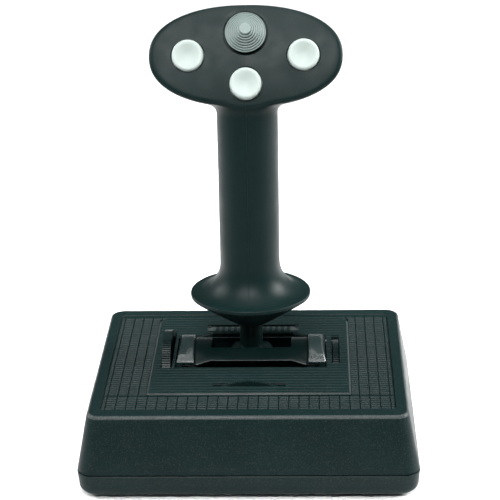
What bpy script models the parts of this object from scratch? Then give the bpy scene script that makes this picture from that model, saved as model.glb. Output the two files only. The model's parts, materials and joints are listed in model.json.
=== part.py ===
"""Desktop flight joystick: base with gimbal and thumb wheels, grip with hat, buttons and trigger.

Every size below is in millimetres; solid() turns millimetres into metres.  +X is the user's right,
+Y points away from the user and +Z is up.  The origin is on the table under the base's centre.
"""
import math

import bpy
import bmesh
from mathutils import Matrix, Vector

MM = 0.001
GAP = 0.3                      # clearance between neighbouring fixed pieces
RUN = 0.06                     # radial running clearance of a shaft in its hole

# Base housing
BASE_W, BASE_D = 165.0, 146.0  # at the seam between cover and tray
BASE_R = 9.0                   # plan radius of the corners at the seam
CORNER_CLOSE = 0.5             # share of each inset by which a corner's radius shrinks
SEAM_Z = 12.8
TOP_Z = 41.8                   # outer top face of the cover
DRAFT = 5.6                    # how far each side leans in from seam to top
EDGE_R = 1.8                   # rounding of the top edge
WALL = 2.4
CEILING_Z = 39.6
TRAY_Z = 2.1                   # underside of the tray
FLOOR_Z = 4.4                  # inner floor of the tray
PANEL_Z = 42.6                 # raised panel around the gimbal
PANEL_X, PANEL_FRONT, PANEL_BACK, PANEL_CHAMFER = 50.0, -43.0, 54.0, 5.0
LABEL_X, LABEL_FRONT, LABEL_BACK, LABEL_DEPTH = 24.0, 34.5, 43.5, 0.8

# Gimbal: pitch axis along X and roll axis along Y cross at (0, GY, GZ)
GY, GZ = 11.7, 24.5
CRADLE_R, CRADLE_SKIN = 22.5, 2.5
CRADLE_X = 28.4                # half width of the visible roller
LIP_X = 36.0                   # half width of the lips that run under the hoods
WAIST_X, WIDE_X = 20.5, 27.5   # where the roller is narrow, and where it is full again
WAIST_DEG, WIDE_DEG = 39.0, 45.0
SLOT_X, SLOT_Y = 20.3, 6.4     # half sizes of the slot that the stick leans in
OPEN_X, OPEN_FRONT, OPEN_BACK = 38.2, -12.0, 29.2
NOTCH_X, NOTCH_WIDE_X, NOTCH_BACK = 21.0, 27.4, 33.6
HOOD_R, HOOD_SKIN = 23.9, 1.1
HOOD_FRONT_Z = 41.2            # the hoods' front and back end here, clear of the lips
HOOD_EDGE_Z = 42.4             # height of each hood's outer edge, just above its slot in the panel
HOOD_IN, HOOD_OUT, HOOD_CREST_OUT, HOOD_Y = 29.1, 37.8, 36.3, 16.2
JOURNAL_R, STUB_R = 5.0, 3.0
BLOCK_IN, BLOCK_OUT = 29.1, 35.8
HUB_R = 9.0                    # round top of each bearing block
HOOD_FOOT = 6.5                # how far above the axis the hoods and posts end

# Stick
SHAFT_R, SHAFT_TOP = 6.0, 96.0
SHOULDER_X, SHOULDER_Y = 10.5, 5.9
TAIL_R, TAIL_LOW = 2.4, 17.0
PIN_R = 2.0
YOKE_IN, YOKE_OUT, YOKE_X = 12.0, 15.0, 6.0
YOKE_LOW, YOKE_BAR = 17.5, 3.0
YOKE_EYE_R, YOKE_JOURNAL_R, YOKE_JOURNAL_END = 5.2, 4.0, 24.0
POST_IN, POST_OUT, POST_X = 16.0, 23.0, 9.0

# Thumb wheels
THROTTLE_R, THROTTLE_X0, THROTTLE_X1, THROTTLE_DEG = 26.6, -44.8, -40.6, 84.0
TRIM_CREST, TRIM_RIM_R, TRIM_RIM_DEG = 20.2, 31.0, 29.6
WHEEL_HUB_R, TRIM_HUB_R = 6.0, 6.5
PITCH_TRIM_X0, PITCH_TRIM_X1 = 41.5, 44.4
ROLL_TRIM_Y0, ROLL_TRIM_Y1 = -34.3, -31.7
POT_R = 8.0

# Grip
STEM_A, STEM_B, STEM_POWER = 15.0, 16.5, 2.3    # half width, half depth and squareness of the stem
FLANGE_R, FLANGE_LOW, RIM_LOW, RIM_HIGH, FLARE_TOP = 30.3, 57.5, 73.0, 75.0, 91.0
STEM_TOP = 188.0
GRIP_WALL = 2.4
HEAD_A, HEAD_UP, HEAD_DOWN = 46.9, 25.9, 23.6   # half width, and height above and below the widest line
UP_POWER, DOWN_POWER = 2.2, 2.3                 # squareness of the head's upper and lower half
HEAD_V = 25.6                  # height of the head's widest line, measured up the face
HEAD_DEPTH, HEAD_EDGE = 31.0, 3.0
FACE_TILT = math.radians(28.0)
FACE_ORIGIN = Vector((0.0, -9.0, 177.0))
FACE_UP = Vector((0.0, math.sin(FACE_TILT), math.cos(FACE_TILT)))
FACE_OUT = Vector((0.0, -math.cos(FACE_TILT), math.sin(FACE_TILT)))
SPLIT = 0.15                   # half the gap between the two grip shells

# Thumb controls, placed across and up the face
BUTTON_R, BUTTON_PROUD = 7.6, 2.5
BUTTON_FLANGE_R, BUTTON_FLANGE_TOP, BUTTON_PLUNGER_R, BUTTON_LOW = 8.5, -2.8, 2.2, -6.5
BUTTONS = {"left": (-27.8, 25.3), "right": (27.8, 25.3), "lower": (0.0, 11.4)}
HAT_V, HAT_R, HAT_TIP_R, HAT_HEIGHT, HAT_RINGS = 36.4, 9.8, 2.7, 9.0, 5
HAT_WELL_R, HAT_WELL_DEPTH, HAT_PIVOT = 10.9, 2.4, 4.6
BOARD_DEPTH, BOARD_THICK = 10.0, 1.6

# Trigger, on the far side of the stem
TRIGGER_Y, TRIGGER_Z, TRIGGER_X, TRIGGER_PIN_R = 23.5, 169.0, 5.2, 1.5
GRIP_SCREW_Z = (104.0, 138.0)
SCREW_X = (-62.0, 62.0)
SCREW_Y = (-52.0, 52.0)
FOOT_X, FOOT_Y, FOOT_R = 70.4, 62.2, 4.6
INLET_X, INLET_Z = 40.0, 24.0

DARK = (0.012, 0.020, 0.019)
PLASTICS = {
    "grip": ((0.020, 0.029, 0.029), 0.42, 0.0),
    "base": (DARK, 0.55, 0.0),
    "gloss": ((0.030, 0.042, 0.042), 0.22, 0.0),
    "inner": ((0.09, 0.10, 0.10), 0.6, 0.0),
    "white": ((0.86, 0.90, 0.88), 0.3, 0.0),
    "hat": ((0.36, 0.44, 0.43), 0.5, 0.0),
    "rubber": ((0.015, 0.015, 0.015), 0.85, 0.0),
    "steel": ((0.55, 0.56, 0.57), 0.3, 1.0),
    "board": ((0.03, 0.16, 0.07), 0.5, 0.0),
}


# ---------------------------------------------------------------- tools

def solid(name, verts, faces, kind="base"):
    """A closed mesh object from points in millimetres, with its faces pointing out."""
    mesh = bpy.data.meshes.new(name)
    mesh.from_pydata([Vector(v) * MM for v in verts], [], faces)
    shape = bmesh.new()
    shape.from_mesh(mesh)
    bmesh.ops.recalc_face_normals(shape, faces=shape.faces[:])
    shape.to_mesh(mesh)
    shape.free()
    obj = bpy.data.objects.new(name, mesh)
    bpy.context.collection.objects.link(obj)
    paint(obj, kind)
    return obj


def paint(obj, kind):
    """Give an object the plastic, rubber or metal of that kind."""
    colour, roughness, metallic = PLASTICS[kind]
    material = bpy.data.materials.new(obj.name + "_finish")
    material.use_nodes = True
    shader = material.node_tree.nodes["Principled BSDF"]
    shader.inputs["Base Color"].default_value = (*colour, 1.0)
    shader.inputs["Roughness"].default_value = roughness
    shader.inputs["Metallic"].default_value = metallic
    obj.data.materials.clear()
    obj.data.materials.append(material)


def loft(name, rings, kind="base"):
    """A solid skin through rings that all have the same number of points."""
    count = len(rings[0])
    verts = [point for ring in rings for point in ring]
    faces = [list(range(count))[::-1], [len(verts) - count + i for i in range(count)]]
    for level in range(len(rings) - 1):
        low = level * count
        for i in range(count):
            j = (i + 1) % count
            faces.append([low + i, low + j, low + count + j, low + count + i])
    return solid(name, verts, faces, kind)


def box(name, x0, x1, y0, y1, z0, z1, kind="base"):
    """A rectangular block between two corners."""
    low = [(x0, y0, z0), (x1, y0, z0), (x1, y1, z0), (x0, y1, z0)]
    high = [(x, y, z1) for x, y, z in low]
    return loft(name, [low, high], kind)


def spin(name, profile, centre, axis="Z", sides=24, kind="base"):
    """A turned piece: profile holds (radius, distance along the axis), from low to high."""
    rings = []
    for radius, along in profile:
        ring = []
        for i in range(sides):
            turn = 2 * math.pi * i / sides
            ring.append(place(centre, axis, radius * math.cos(turn), radius * math.sin(turn), along))
        rings.append(ring)
    return loft(name, rings, kind)


def place(centre, axis, across, other, along):
    """A point given across and along an axis through a centre."""
    if axis == "X":
        step = Vector((along, across, other))
    elif axis == "Y":
        step = Vector((across, along, other))
    elif axis == "FACE":
        step = Vector((across, 0, 0)) + FACE_UP * other + FACE_OUT * along
    else:
        step = Vector((across, other, along))
    return Vector(centre) + step


def rod(name, centre, axis, radius, start, end, sides=24, kind="base"):
    """A plain round bar along an axis."""
    return spin(name, [(radius, start), (radius, end)], centre, axis, sides, kind)


def prism(name, outline, axis, start, end, kind="base"):
    """A flat outline in millimetres pushed along X or Y; its points are (y, z) or (x, z)."""
    rings = []
    for along in (start, end):
        if axis == "X":
            rings.append([(along, a, b) for a, b in outline])
        else:
            rings.append([(a, along, b) for a, b in outline])
    return loft(name, rings, kind)


def combine(target, tool, operation):
    """Unite the tool with the target, or cut it away, and throw the tool away."""
    step = target.modifiers.new("combine", "BOOLEAN")
    step.operation = operation
    step.solver = "EXACT"
    step.object = tool
    bpy.context.view_layer.update()
    result = target.evaluated_get(bpy.context.evaluated_depsgraph_get())
    mesh = bpy.data.meshes.new_from_object(result)
    target.modifiers.clear()
    target.data = mesh
    bpy.data.objects.remove(tool)


def cut(target, *tools):
    for tool in tools:
        combine(target, tool, "DIFFERENCE")


def unite(target, *tools):
    for tool in tools:
        combine(target, tool, "UNION")


def tidy(obj):
    """Merge the near-identical points that cutting leaves, and smooth the round faces."""
    shape = bmesh.new()
    shape.from_mesh(obj.data)
    bmesh.ops.remove_doubles(shape, verts=shape.verts[:], dist=0.00002)
    bmesh.ops.dissolve_degenerate(shape, edges=shape.edges[:], dist=0.00001)
    shape.to_mesh(obj.data)
    shape.free()
    obj.data.shade_smooth()
    obj.data.set_sharp_from_angle(angle=math.radians(32))


def hinge_at(obj, x, y, z):
    """Move an object's origin onto its joint's axis without moving its shape."""
    point = Vector((x, y, z)) * MM
    obj.data.transform(Matrix.Translation(-point))
    obj.location = point


def rounded(half_x, half_y, radius, z, corner_steps=5, y_mid=0.0):
    """A rounded rectangle at one height."""
    ring = []
    for quarter in range(4):
        sx = (1, -1, -1, 1)[quarter]
        sy = (1, 1, -1, -1)[quarter]
        for step in range(corner_steps + 1):
            turn = math.pi / 2 * (quarter + step / corner_steps)
            x = sx * (half_x - radius) + radius * math.cos(turn)
            y = sy * (half_y - radius) + radius * math.sin(turn)
            ring.append((x, y + y_mid, z))
    return ring


def oval(a, b, power, count, x_mid=0.0, y_mid=0.0):
    """Points of a superellipse, anticlockwise from +X."""
    points = []
    for i in range(count):
        turn = 2 * math.pi * (i + 0.5) / count
        c, s = math.cos(turn), math.sin(turn)
        x = a * math.copysign(abs(c) ** (2 / power), c)
        y = b * math.copysign(abs(s) ** (2 / power), s)
        points.append((x_mid + x, y_mid + y))
    return points


def arc(radius, start_deg, end_deg, steps, y_mid=GY, z_mid=GZ):
    """Points on a circle in the YZ plane, with angles from straight up towards +Y."""
    points = []
    for i in range(steps + 1):
        turn = math.radians(start_deg + (end_deg - start_deg) * i / steps)
        points.append((y_mid + radius * math.sin(turn), z_mid + radius * math.cos(turn)))
    return points


# ---------------------------------------------------------------- base

def side_inset(z):
    """How far the cover's side has leaned in at a height."""
    return DRAFT * (z - SEAM_Z) / (TOP_Z - SEAM_Z)


def cover_ring(z, extra):
    inset = side_inset(z) + extra
    return rounded(BASE_W / 2 - inset, BASE_D / 2 - inset, BASE_R - CORNER_CLOSE * inset, z)


def panel_outline():
    """The raised panel, with its back corners cut off."""
    c = PANEL_CHAMFER
    return [(-PANEL_X, PANEL_FRONT), (PANEL_X, PANEL_FRONT), (PANEL_X, PANEL_BACK - c),
            (PANEL_X - c, PANEL_BACK), (c - PANEL_X, PANEL_BACK), (-PANEL_X, PANEL_BACK - c)]


def gimbal_opening():
    """Outline of the hole that the cradle stands in, with a notch behind the stick."""
    return [(-OPEN_X, OPEN_FRONT), (OPEN_X, OPEN_FRONT), (OPEN_X, OPEN_BACK), (NOTCH_WIDE_X, OPEN_BACK),
            (NOTCH_X, NOTCH_BACK), (-NOTCH_X, NOTCH_BACK), (-NOTCH_WIDE_X, OPEN_BACK), (-OPEN_X, OPEN_BACK)]


def slab(name, outline, z0, z1):
    return loft(name, [[(x, y, z) for x, y in outline] for z in (z0, z1)])


def base_top_cover():
    low, high = SEAM_Z + 0.2, TOP_Z
    cover = loft("base_top_cover", [cover_ring(low, 0.0), cover_ring(high - EDGE_R, 0.0),
                                    cover_ring(high - 0.35, 0.35), cover_ring(high, EDGE_R)])
    unite(cover, slab("panel", panel_outline(), high - 1.0, PANEL_Z))
    cut(cover, loft("inside", [cover_ring(low - 1.0, WALL), cover_ring(CEILING_Z, WALL)]))
    for x in SCREW_X:
        for y in SCREW_Y:
            unite(cover, rod("boss", (x, y, 0), "Z", 4.2, 8.4, CEILING_Z + 0.8, 12))
            cut(cover, rod("pilot", (x, y, 0), "Z", 1.8, 7.0, 24.0, 10))
    cut(cover, slab("opening", gimbal_opening(), 30.0, 50.0))
    cut(cover, box("throttle_slot", THROTTLE_X0 - 0.4, THROTTLE_X1 + 1.0, -12.0, 35.4, 30.0, 50.0))
    cut(cover, box("pitch_slot", PITCH_TRIM_X0 - 0.5, PITCH_TRIM_X1 + 0.5, -7.0, 28.6, 30.0, 50.0))
    cut(cover, box("roll_slot", -17.9, 17.9, ROLL_TRIM_Y0 - 0.5, ROLL_TRIM_Y1 + 0.5, 30.0, 50.0))
    cut(cover, box("label", -LABEL_X, LABEL_X, LABEL_FRONT, LABEL_BACK, PANEL_Z - LABEL_DEPTH, 50.0))
    cut(cover, rod("inlet", (INLET_X, 0, INLET_Z), "Y", 5.3, 60.0, 80.0, 18))
    tidy(cover)


def tray_ring(z, inset_x, inset_y, radius):
    return rounded(BASE_W / 2 - inset_x, BASE_D / 2 - inset_y, radius, z)


def base_tray():
    top = SEAM_Z - 0.2
    tray = loft("base_tray", [tray_ring(TRAY_Z, 4.4, 2.6, BASE_R - 2),
                              tray_ring(TRAY_Z + 1.4, 2.0, 1.2, BASE_R - 1),
                              tray_ring(TRAY_Z + 4.2, 0.6, 0.4, BASE_R), tray_ring(top, 0.0, 0.0, BASE_R)])
    cut(tray, loft("inside", [tray_ring(FLOOR_Z, 4.6, 3.6, BASE_R - 2.4),
                              tray_ring(top + 1, 2.6, 2.6, BASE_R - 1.6)]))
    for x in SCREW_X:
        for y in SCREW_Y:
            unite(tray, rod("boss", (x, y, 0), "Z", 5.0, TRAY_Z + 1.0, 8.0, 12))
            cut(tray, rod("head_recess", (x, y, 0), "Z", 3.4, 0.0, 4.9, 12))
            cut(tray, rod("clearance", (x, y, 0), "Z", 1.8, 4.0, 9.0, 10))
    for x in (-FOOT_X, FOOT_X):
        for y in (-FOOT_Y, FOOT_Y):
            cut(tray, rod("foot_hole", (x, y, 0), "Z", 2.1, 0.0, 8.0, 8))
    for x in (-30.0, 30.0):
        unite(tray, rod("standoff", (x, 52.0, 0), "Z", 3.0, TRAY_Z + 1.0, 7.7, 8))
    tidy(tray)


def rubber_feet():
    for side_x, across in (("left", -FOOT_X), ("right", FOOT_X)):
        for side_y, along in (("front", -FOOT_Y), ("back", FOOT_Y)):
            profile = [(FOOT_R - 0.4, 0.0), (FOOT_R, 0.4), (FOOT_R, 1.8), (1.8, 1.8), (1.8, 5.2)]
            foot = spin("foot_%s_%s" % (side_y, side_x), profile, (across, along, 0), "Z", 14, "rubber")
            tidy(foot)


def base_screws():
    for side_x, across in zip(("left", "right"), SCREW_X):
        for side_y, along in zip(("front", "back"), SCREW_Y):
            profile = [(2.6, 2.5), (3.0, 2.9), (3.0, 4.6), (1.5, 4.6), (1.5, 20.0), (0.6, 22.0)]
            name = "base_screw_%s_%s" % (side_y, side_x)
            screw = spin(name, profile, (across, along, 0), "Z", 10, "steel")
            cut(screw, box("drive", across - 2.0, across + 2.0, along - 0.4, along + 0.4, 0.0, 3.5))
            tidy(screw)


def cable_inlet():
    profile = [(6.8, 64.0), (6.8, 65.6), (5.0, 65.6), (5.0, 70.6)]
    bush = spin("cable_inlet_bush", profile, (INLET_X, 0, INLET_Z), "Y", 18, "rubber")
    cut(bush, rod("bore", (INLET_X, 0, INLET_Z), "Y", 2.8, 60.0, 75.0, 14))
    tidy(bush)


def main_board():
    board = box("main_board", -40.0, 40.0, 42.0, 62.0, 8.0, 9.6, "board")
    for x, size_x, size_y, height in ((-20.0, 9.0, 4.0, 3.2), (4.0, 7.0, 3.0, 2.4), (26.0, 4.0, 5.0, 4.5)):
        unite(board, box("chip", x - size_x, x + size_x, 52 - size_y, 52 + size_y, 9.0, 9.6 + height))
    paint(board, "board")


# ---------------------------------------------------------------- gimbal

def cradle_ring(x, half_deg, radius):
    """Cross-section of the cradle's curved skin."""
    outer = arc(radius, -half_deg, half_deg, 10)
    inner = arc(CRADLE_R - CRADLE_SKIN, half_deg, -half_deg, 10)
    return [(x, y, z) for y, z in outer + inner]


def cradle_end():
    """Outline of an end plate: a hub below and a fan that carries the skin above."""
    return arc(CRADLE_R - 0.8, -WAIST_DEG, WAIST_DEG, 8) + arc(7.5, 100, 260, 6)


def cradle():
    lip_r = CRADLE_R - 0.3
    stations = [(LIP_X, WIDE_DEG, lip_r), (CRADLE_X + 0.1, WIDE_DEG, lip_r), (CRADLE_X, WIDE_DEG, CRADLE_R),
                (WIDE_X, WIDE_DEG, CRADLE_R), (WAIST_X, WAIST_DEG, CRADLE_R)]
    left = [cradle_ring(-x, deg, radius) for x, deg, radius in stations]
    right = [cradle_ring(x, deg, radius) for x, deg, radius in reversed(stations)]
    frame = loft("cradle", left + right, "gloss")
    cut(frame, box("slot", -SLOT_X, SLOT_X, GY - SLOT_Y, GY + SLOT_Y, GZ + 10, GZ + 30))
    for side in (-1, 1):
        unite(frame, box("wall", -26.0, 26.0, GY + side * 6.5, GY + side * 9.5, GZ - 5.0, GZ + 19.7))
        inner, outer = side * 25.4, side * (CRADLE_X - 0.15)
        unite(frame, prism("end", cradle_end(), "X", inner, outer))
    centre = (0, GY, GZ)
    unite(frame, rod("left_journal", centre, "X", JOURNAL_R, -40.0, -27.0))
    unite(frame, rod("right_journal", centre, "X", JOURNAL_R, 27.0, 37.2))
    unite(frame, rod("sensor_stub", centre, "X", STUB_R, 36.0, 50.5))
    cut(frame, rod("pin_hole", centre, "Y", PIN_R + RUN, -11.0, 11.0))
    tidy(frame)
    hinge_at(frame, 0, GY, GZ)
    pin = rod("roll_pivot_pin", centre, "Y", PIN_R, -9.3, 9.3, 24, "steel")
    tidy(pin)
    hinge_at(pin, 0, GY, GZ)


def stick_shaft():
    outline = [(-SHOULDER_X, GZ - 5.0), (-SHOULDER_X + 3.5, GZ - 8.0), (SHOULDER_X - 3.5, GZ - 8.0),
               (SHOULDER_X, GZ - 5.0), (SHOULDER_X, GZ + 17.5), (SHOULDER_X - 2.5, GZ + 20.0),
               (2.5 - SHOULDER_X, GZ + 20.0), (-SHOULDER_X, GZ + 17.5)]
    shaft = prism("stick_shaft", outline, "Y", GY - SHOULDER_Y, GY + SHOULDER_Y, "gloss")
    unite(shaft, rod("bar", (0, GY, 0), "Z", SHAFT_R - 0.15, GZ + 15, SHAFT_TOP))
    unite(shaft, spin("tail", [(TAIL_R - 0.6, -TAIL_LOW), (TAIL_R, -TAIL_LOW + 0.6), (TAIL_R, -6.0)],
                      (0, GY, GZ), "Z", 24))
    cut(shaft, rod("pin_hole", (0, GY, GZ), "Y", PIN_R + RUN, -11.0, 11.0))
    tidy(shaft)
    hinge_at(shaft, 0, GY, GZ)


def roll_yoke():
    """The bail that the stick's tail swings from side to side; it turns the roll sensor."""
    low = GZ - YOKE_LOW
    yoke = box("roll_yoke", -YOKE_X, YOKE_X, GY - YOKE_OUT, GY + YOKE_OUT, low, low + YOKE_BAR, "inner")
    cut(yoke, box("slot", -TAIL_R - 0.5, TAIL_R + 0.5, GY - 8.8, GY + 8.8, low - 1, low + YOKE_BAR + 1))
    for side in (-1, 1):
        near, far = GY + side * YOKE_IN, GY + side * YOKE_OUT
        unite(yoke, box("arm", -YOKE_X + 0.5, YOKE_X - 0.5, near, far, low + 1, GZ))
        unite(yoke, rod("eye", (0, GY, GZ), "Y", YOKE_EYE_R, side * YOKE_IN, side * YOKE_OUT, 24))
        inner, outer = side * (YOKE_OUT - 1), side * YOKE_JOURNAL_END
        unite(yoke, rod("journal", (0, GY, GZ), "Y", YOKE_JOURNAL_R, inner, outer))
    unite(yoke, rod("sensor_stub", (0, GY, GZ), "Y", STUB_R, -53.0, 1 - YOKE_JOURNAL_END))
    unite(yoke, rod("spring_seat", (0, GY, GZ), "Y", YOKE_JOURNAL_R, YOKE_JOURNAL_END - 1, 30.0))
    tidy(yoke)
    hinge_at(yoke, 0, GY, GZ)


def bearings():
    for name, side in (("left", -1), ("right", 1)):
        outline = arc(HUB_R, -90, 90, 12) + [(GY + 13, GZ - 8), (GY + 13, FLOOR_Z + GAP),
                                           (GY - 13, FLOOR_Z + GAP), (GY - 13, GZ - 8)]
        block = prism("bearing_block_" + name, outline, "X", side * BLOCK_IN, side * BLOCK_OUT, "inner")
        cut(block, rod("bore", (0, GY, GZ), "X", JOURNAL_R + RUN, side * 25, side * 42))
        tidy(block)
    for name, side in (("front", -1), ("back", 1)):
        near, far = GY + side * POST_IN, GY + side * POST_OUT
        post = box("yoke_post_" + name, -POST_X, POST_X, near, far, FLOOR_Z + GAP, GZ + HOOD_FOOT, "inner")
        cut(post, rod("bore", (0, GY, GZ), "Y", YOKE_JOURNAL_R + RUN, side * 10, side * 40))
        tidy(post)


def hood_outline():
    """A hood's arched side, cut straight where it goes down into the opening."""
    reach = math.degrees(math.asin(HOOD_Y / HOOD_R))
    foot = GZ + HOOD_FOOT
    return arc(HOOD_R, -reach, reach, 14) + [(GY + HOOD_Y, foot), (GY - HOOD_Y, foot)]


def gimbal_hoods():
    """Arched hoods over the cradle's ends."""
    for name, side in (("left", -1), ("right", 1)):
        rings = []
        crest = GZ + HOOD_R
        for x, highest in ((HOOD_IN, crest), (HOOD_CREST_OUT, crest), (HOOD_OUT, HOOD_EDGE_Z)):
            rings.append([(side * x, y, min(z, highest)) for y, z in hood_outline()])
        hood = loft("gimbal_hood_" + name, rings, "gloss")
        cut(hood, rod("room", (0, GY, GZ), "X", HOOD_R - HOOD_SKIN, side * 25, side * 36.4, 48))
        low_x, high_x = sorted((side * 25, side * 36.4))
        cut(hood, box("lip_room", low_x, high_x, GY - 20, GY + 20, GZ, HOOD_FRONT_Z))
        tidy(hood)


# ---------------------------------------------------------------- thumb wheels and sensors

def throttle_wheel():
    outline = arc(THROTTLE_R, -THROTTLE_DEG, THROTTLE_DEG, 30) + arc(WHEEL_HUB_R, 100, 260, 10)
    wheel = prism("throttle_wheel", outline, "X", THROTTLE_X0, THROTTLE_X1)
    unite(wheel, rod("stub", (0, GY, GZ), "X", STUB_R, -52.0, THROTTLE_X0 + 1))
    tidy(wheel)
    hinge_at(wheel, THROTTLE_X1, GY, GZ)


def trim_outline():
    """A fan whose rim is flatter than its reach, so that it stands only a little above the panel."""
    low = TRIM_CREST - TRIM_RIM_R
    rim = arc(TRIM_RIM_R, -TRIM_RIM_DEG, TRIM_RIM_DEG, 16, 0.0, low)
    return rim + arc(TRIM_HUB_R, 100, 260, 8, 0.0, 0.0)


def trim_wheels():
    outline = [(GY + across, GZ + up) for across, up in trim_outline()]
    wheel = prism("pitch_trim_wheel", outline, "X", PITCH_TRIM_X0, PITCH_TRIM_X1)
    cut(wheel, rod("bore", (0, GY, GZ), "X", STUB_R + RUN, 30, 60))
    tidy(wheel)
    hinge_at(wheel, PITCH_TRIM_X0, GY, GZ)
    outline = [(across, GZ + up) for across, up in trim_outline()]
    wheel = prism("roll_trim_wheel", outline, "Y", ROLL_TRIM_Y0, ROLL_TRIM_Y1)
    cut(wheel, rod("bore", (0, GY, GZ), "Y", STUB_R + RUN, -60, -30))
    tidy(wheel)
    hinge_at(wheel, 0, ROLL_TRIM_Y1, GZ)


def sensor(name, axis, start, end, bore_start, bore_end):
    """A rotary sensor (potentiometer) with the shaft's hole in its near side."""
    length = end - start
    profile = [(POT_R - 0.6, start), (POT_R, start + 0.12 * length), (POT_R, end - 0.12 * length),
               (POT_R - 0.6, end)]
    pot = spin(name, profile, (0, GY, GZ), axis, 20, "steel")
    cut(pot, rod("bore", (0, GY, GZ), axis, STUB_R + RUN, bore_start, bore_end))
    tidy(pot)
    return pot


def sensors():
    hinge_at(sensor("pitch_sensor", "X", 45.0, 54.0, 40.0, 51.0), 45.0, GY, GZ)
    hinge_at(sensor("roll_sensor", "Y", -47.0, -56.0, -42.0, -53.5), 0, GY - 47.0, GZ)
    sensor("throttle_sensor", "X", -45.6, -55.0, -40.6, -52.5)


def saddles():
    """Rests that carry the sensors' round bodies."""
    low, high, half = FLOOR_Z + GAP, GZ - 1.0, POT_R + 2.5
    for name, start, end in (("pitch", 46.5, 52.5), ("throttle", -53.5, -47.5)):
        rest = box(name + "_sensor_saddle", start, end, GY - half, GY + half, low, high, "inner")
        cut(rest, rod("seat", (0, GY, GZ), "X", POT_R + GAP, start - 5, end + 5, 20))
        tidy(rest)
    rest = box("roll_sensor_saddle", -half, half, GY - 54.5, GY - 48.5, low, high, "inner")
    cut(rest, rod("seat", (0, GY, GZ), "Y", POT_R + GAP, -60, -45, 20))
    tidy(rest)


def coil(name, axis, radius, wire, start, end, turns):
    """A coil spring round an axis through the gimbal's centre, with blunt ends."""
    steps_per_turn, sides = 10, 5
    rings = []
    total = int(turns * steps_per_turn)
    for i in range(total + 1):
        turn = 2 * math.pi * i / steps_per_turn
        along = start + (end - start) * i / total
        ring = []
        for k in range(sides):
            spread = 2 * math.pi * k / sides
            reach = radius + wire * math.cos(spread)
            across, other = reach * math.cos(turn), reach * math.sin(turn)
            ring.append(place((0, GY, GZ), axis, across, other, along + wire * math.sin(spread)))
        rings.append(ring)
    spring = loft(name, rings, "steel")
    tidy(spring)


def springs():
    coil("pitch_spring", "X", 6.1, 0.4, -39.7, -38.3, 1.4)
    coil("roll_spring", "Y", 5.0, 0.45, 24.0, 28.8, 4.0)


# ---------------------------------------------------------------- grip

def stem_ring(z, a, b, power, count=26):
    return [(x, y, z) for x, y in oval(a, b, power, count, 0.0, GY)]


def stem_rings(inset):
    """Rings of the flange, its flare and the stem, shrunk by an inset."""
    rings = []
    bowl = [(6.6, FLANGE_LOW), (7.6, FLANGE_LOW + 0.4), (15.0, 62.4), (22.7, 67.6)]
    rim = [(FLANGE_R, RIM_LOW), (FLANGE_R, RIM_HIGH)]
    for radius, z in bowl + rim:
        rings.append(stem_ring(z, radius, radius, 2.0))
    steps = 5
    for i in range(1, steps + 1):
        turn = math.pi / 2 * i / steps
        z = RIM_HIGH + (FLARE_TOP - RIM_HIGH) * (1 - math.cos(turn))
        blend = 1 - math.sin(turn)
        a = STEM_A + (FLANGE_R - 0.4 - STEM_A) * blend
        b = STEM_B + (FLANGE_R - 0.4 - STEM_B) * blend
        rings.append(stem_ring(z, a - inset, b - inset, 2.0 + (STEM_POWER - 2.0) * (1 - blend)))
    rings.append(stem_ring(STEM_TOP, STEM_A - inset, STEM_B - inset, STEM_POWER))
    return rings


def face_point(across, up, depth):
    """A point measured across and up the face, and into the head."""
    return FACE_ORIGIN + Vector((across, 0, 0)) + FACE_UP * up - FACE_OUT * depth


def head_ring(depth, inset, scale, count=34):
    """The head's oval outline at a depth, shrunk by an inset and scaled about its middle."""
    ring = []
    for i in range(count):
        turn = 2 * math.pi * (i + 0.5) / count
        c, s = math.cos(turn), math.sin(turn)
        half, power = (HEAD_UP, UP_POWER) if s > 0 else (HEAD_DOWN, DOWN_POWER)
        across = (HEAD_A - inset) * scale * math.copysign(abs(c) ** (2 / power), c)
        up = (half - inset) * scale * math.copysign(abs(s) ** (2 / power), s)
        ring.append(face_point(across, HEAD_V + up, depth))
    return ring


def head_rings(inset):
    """From the rounded face edge to the domed back."""
    edge = HEAD_EDGE
    rings = [head_ring(inset, inset + edge * 0.8, 1.0), head_ring(inset + 0.5, inset + edge * 0.35, 1.0),
             head_ring(inset + 1.6, inset + edge * 0.08, 1.0), head_ring(inset + edge, inset, 1.0)]
    full = HEAD_DEPTH - inset
    start = inset + edge + 4.0
    for step in range(6):
        t = (step / 5.0) * 0.97
        depth = start + (full - start) * t
        rings.append(head_ring(depth, inset, (1 - t ** 2.4) ** 0.42))
    return rings


def grip_body():
    body = loft("grip", stem_rings(0.0), "grip")
    unite(body, loft("head", head_rings(0.0)))
    hollow = loft("hollow", stem_rings(GRIP_WALL)[9:])
    unite(hollow, loft("head_room", head_rings(GRIP_WALL)))
    cut(body, hollow)
    return body


def add_bosses(body):
    """Bosses inside the shells for the screws, the trigger's pin and the hat's well."""
    for z in GRIP_SCREW_Z:
        unite(body, rod("boss", (0, GY, z), "X", 4.0, -STEM_A + 1.2, STEM_A - 1.2, 14))
    for side in (-1, 1):
        start, end = sorted((side * (TRIGGER_X + 0.8), side * 9.8))
        unite(body, rod("pin_boss", (0, TRIGGER_Y, TRIGGER_Z), "X", 3.2, start, end, 12))
    unite(body, rod("well_boss", face_point(0, HAT_V, 0), "FACE", 12.6, -3.6, -1.2, 26))


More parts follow.
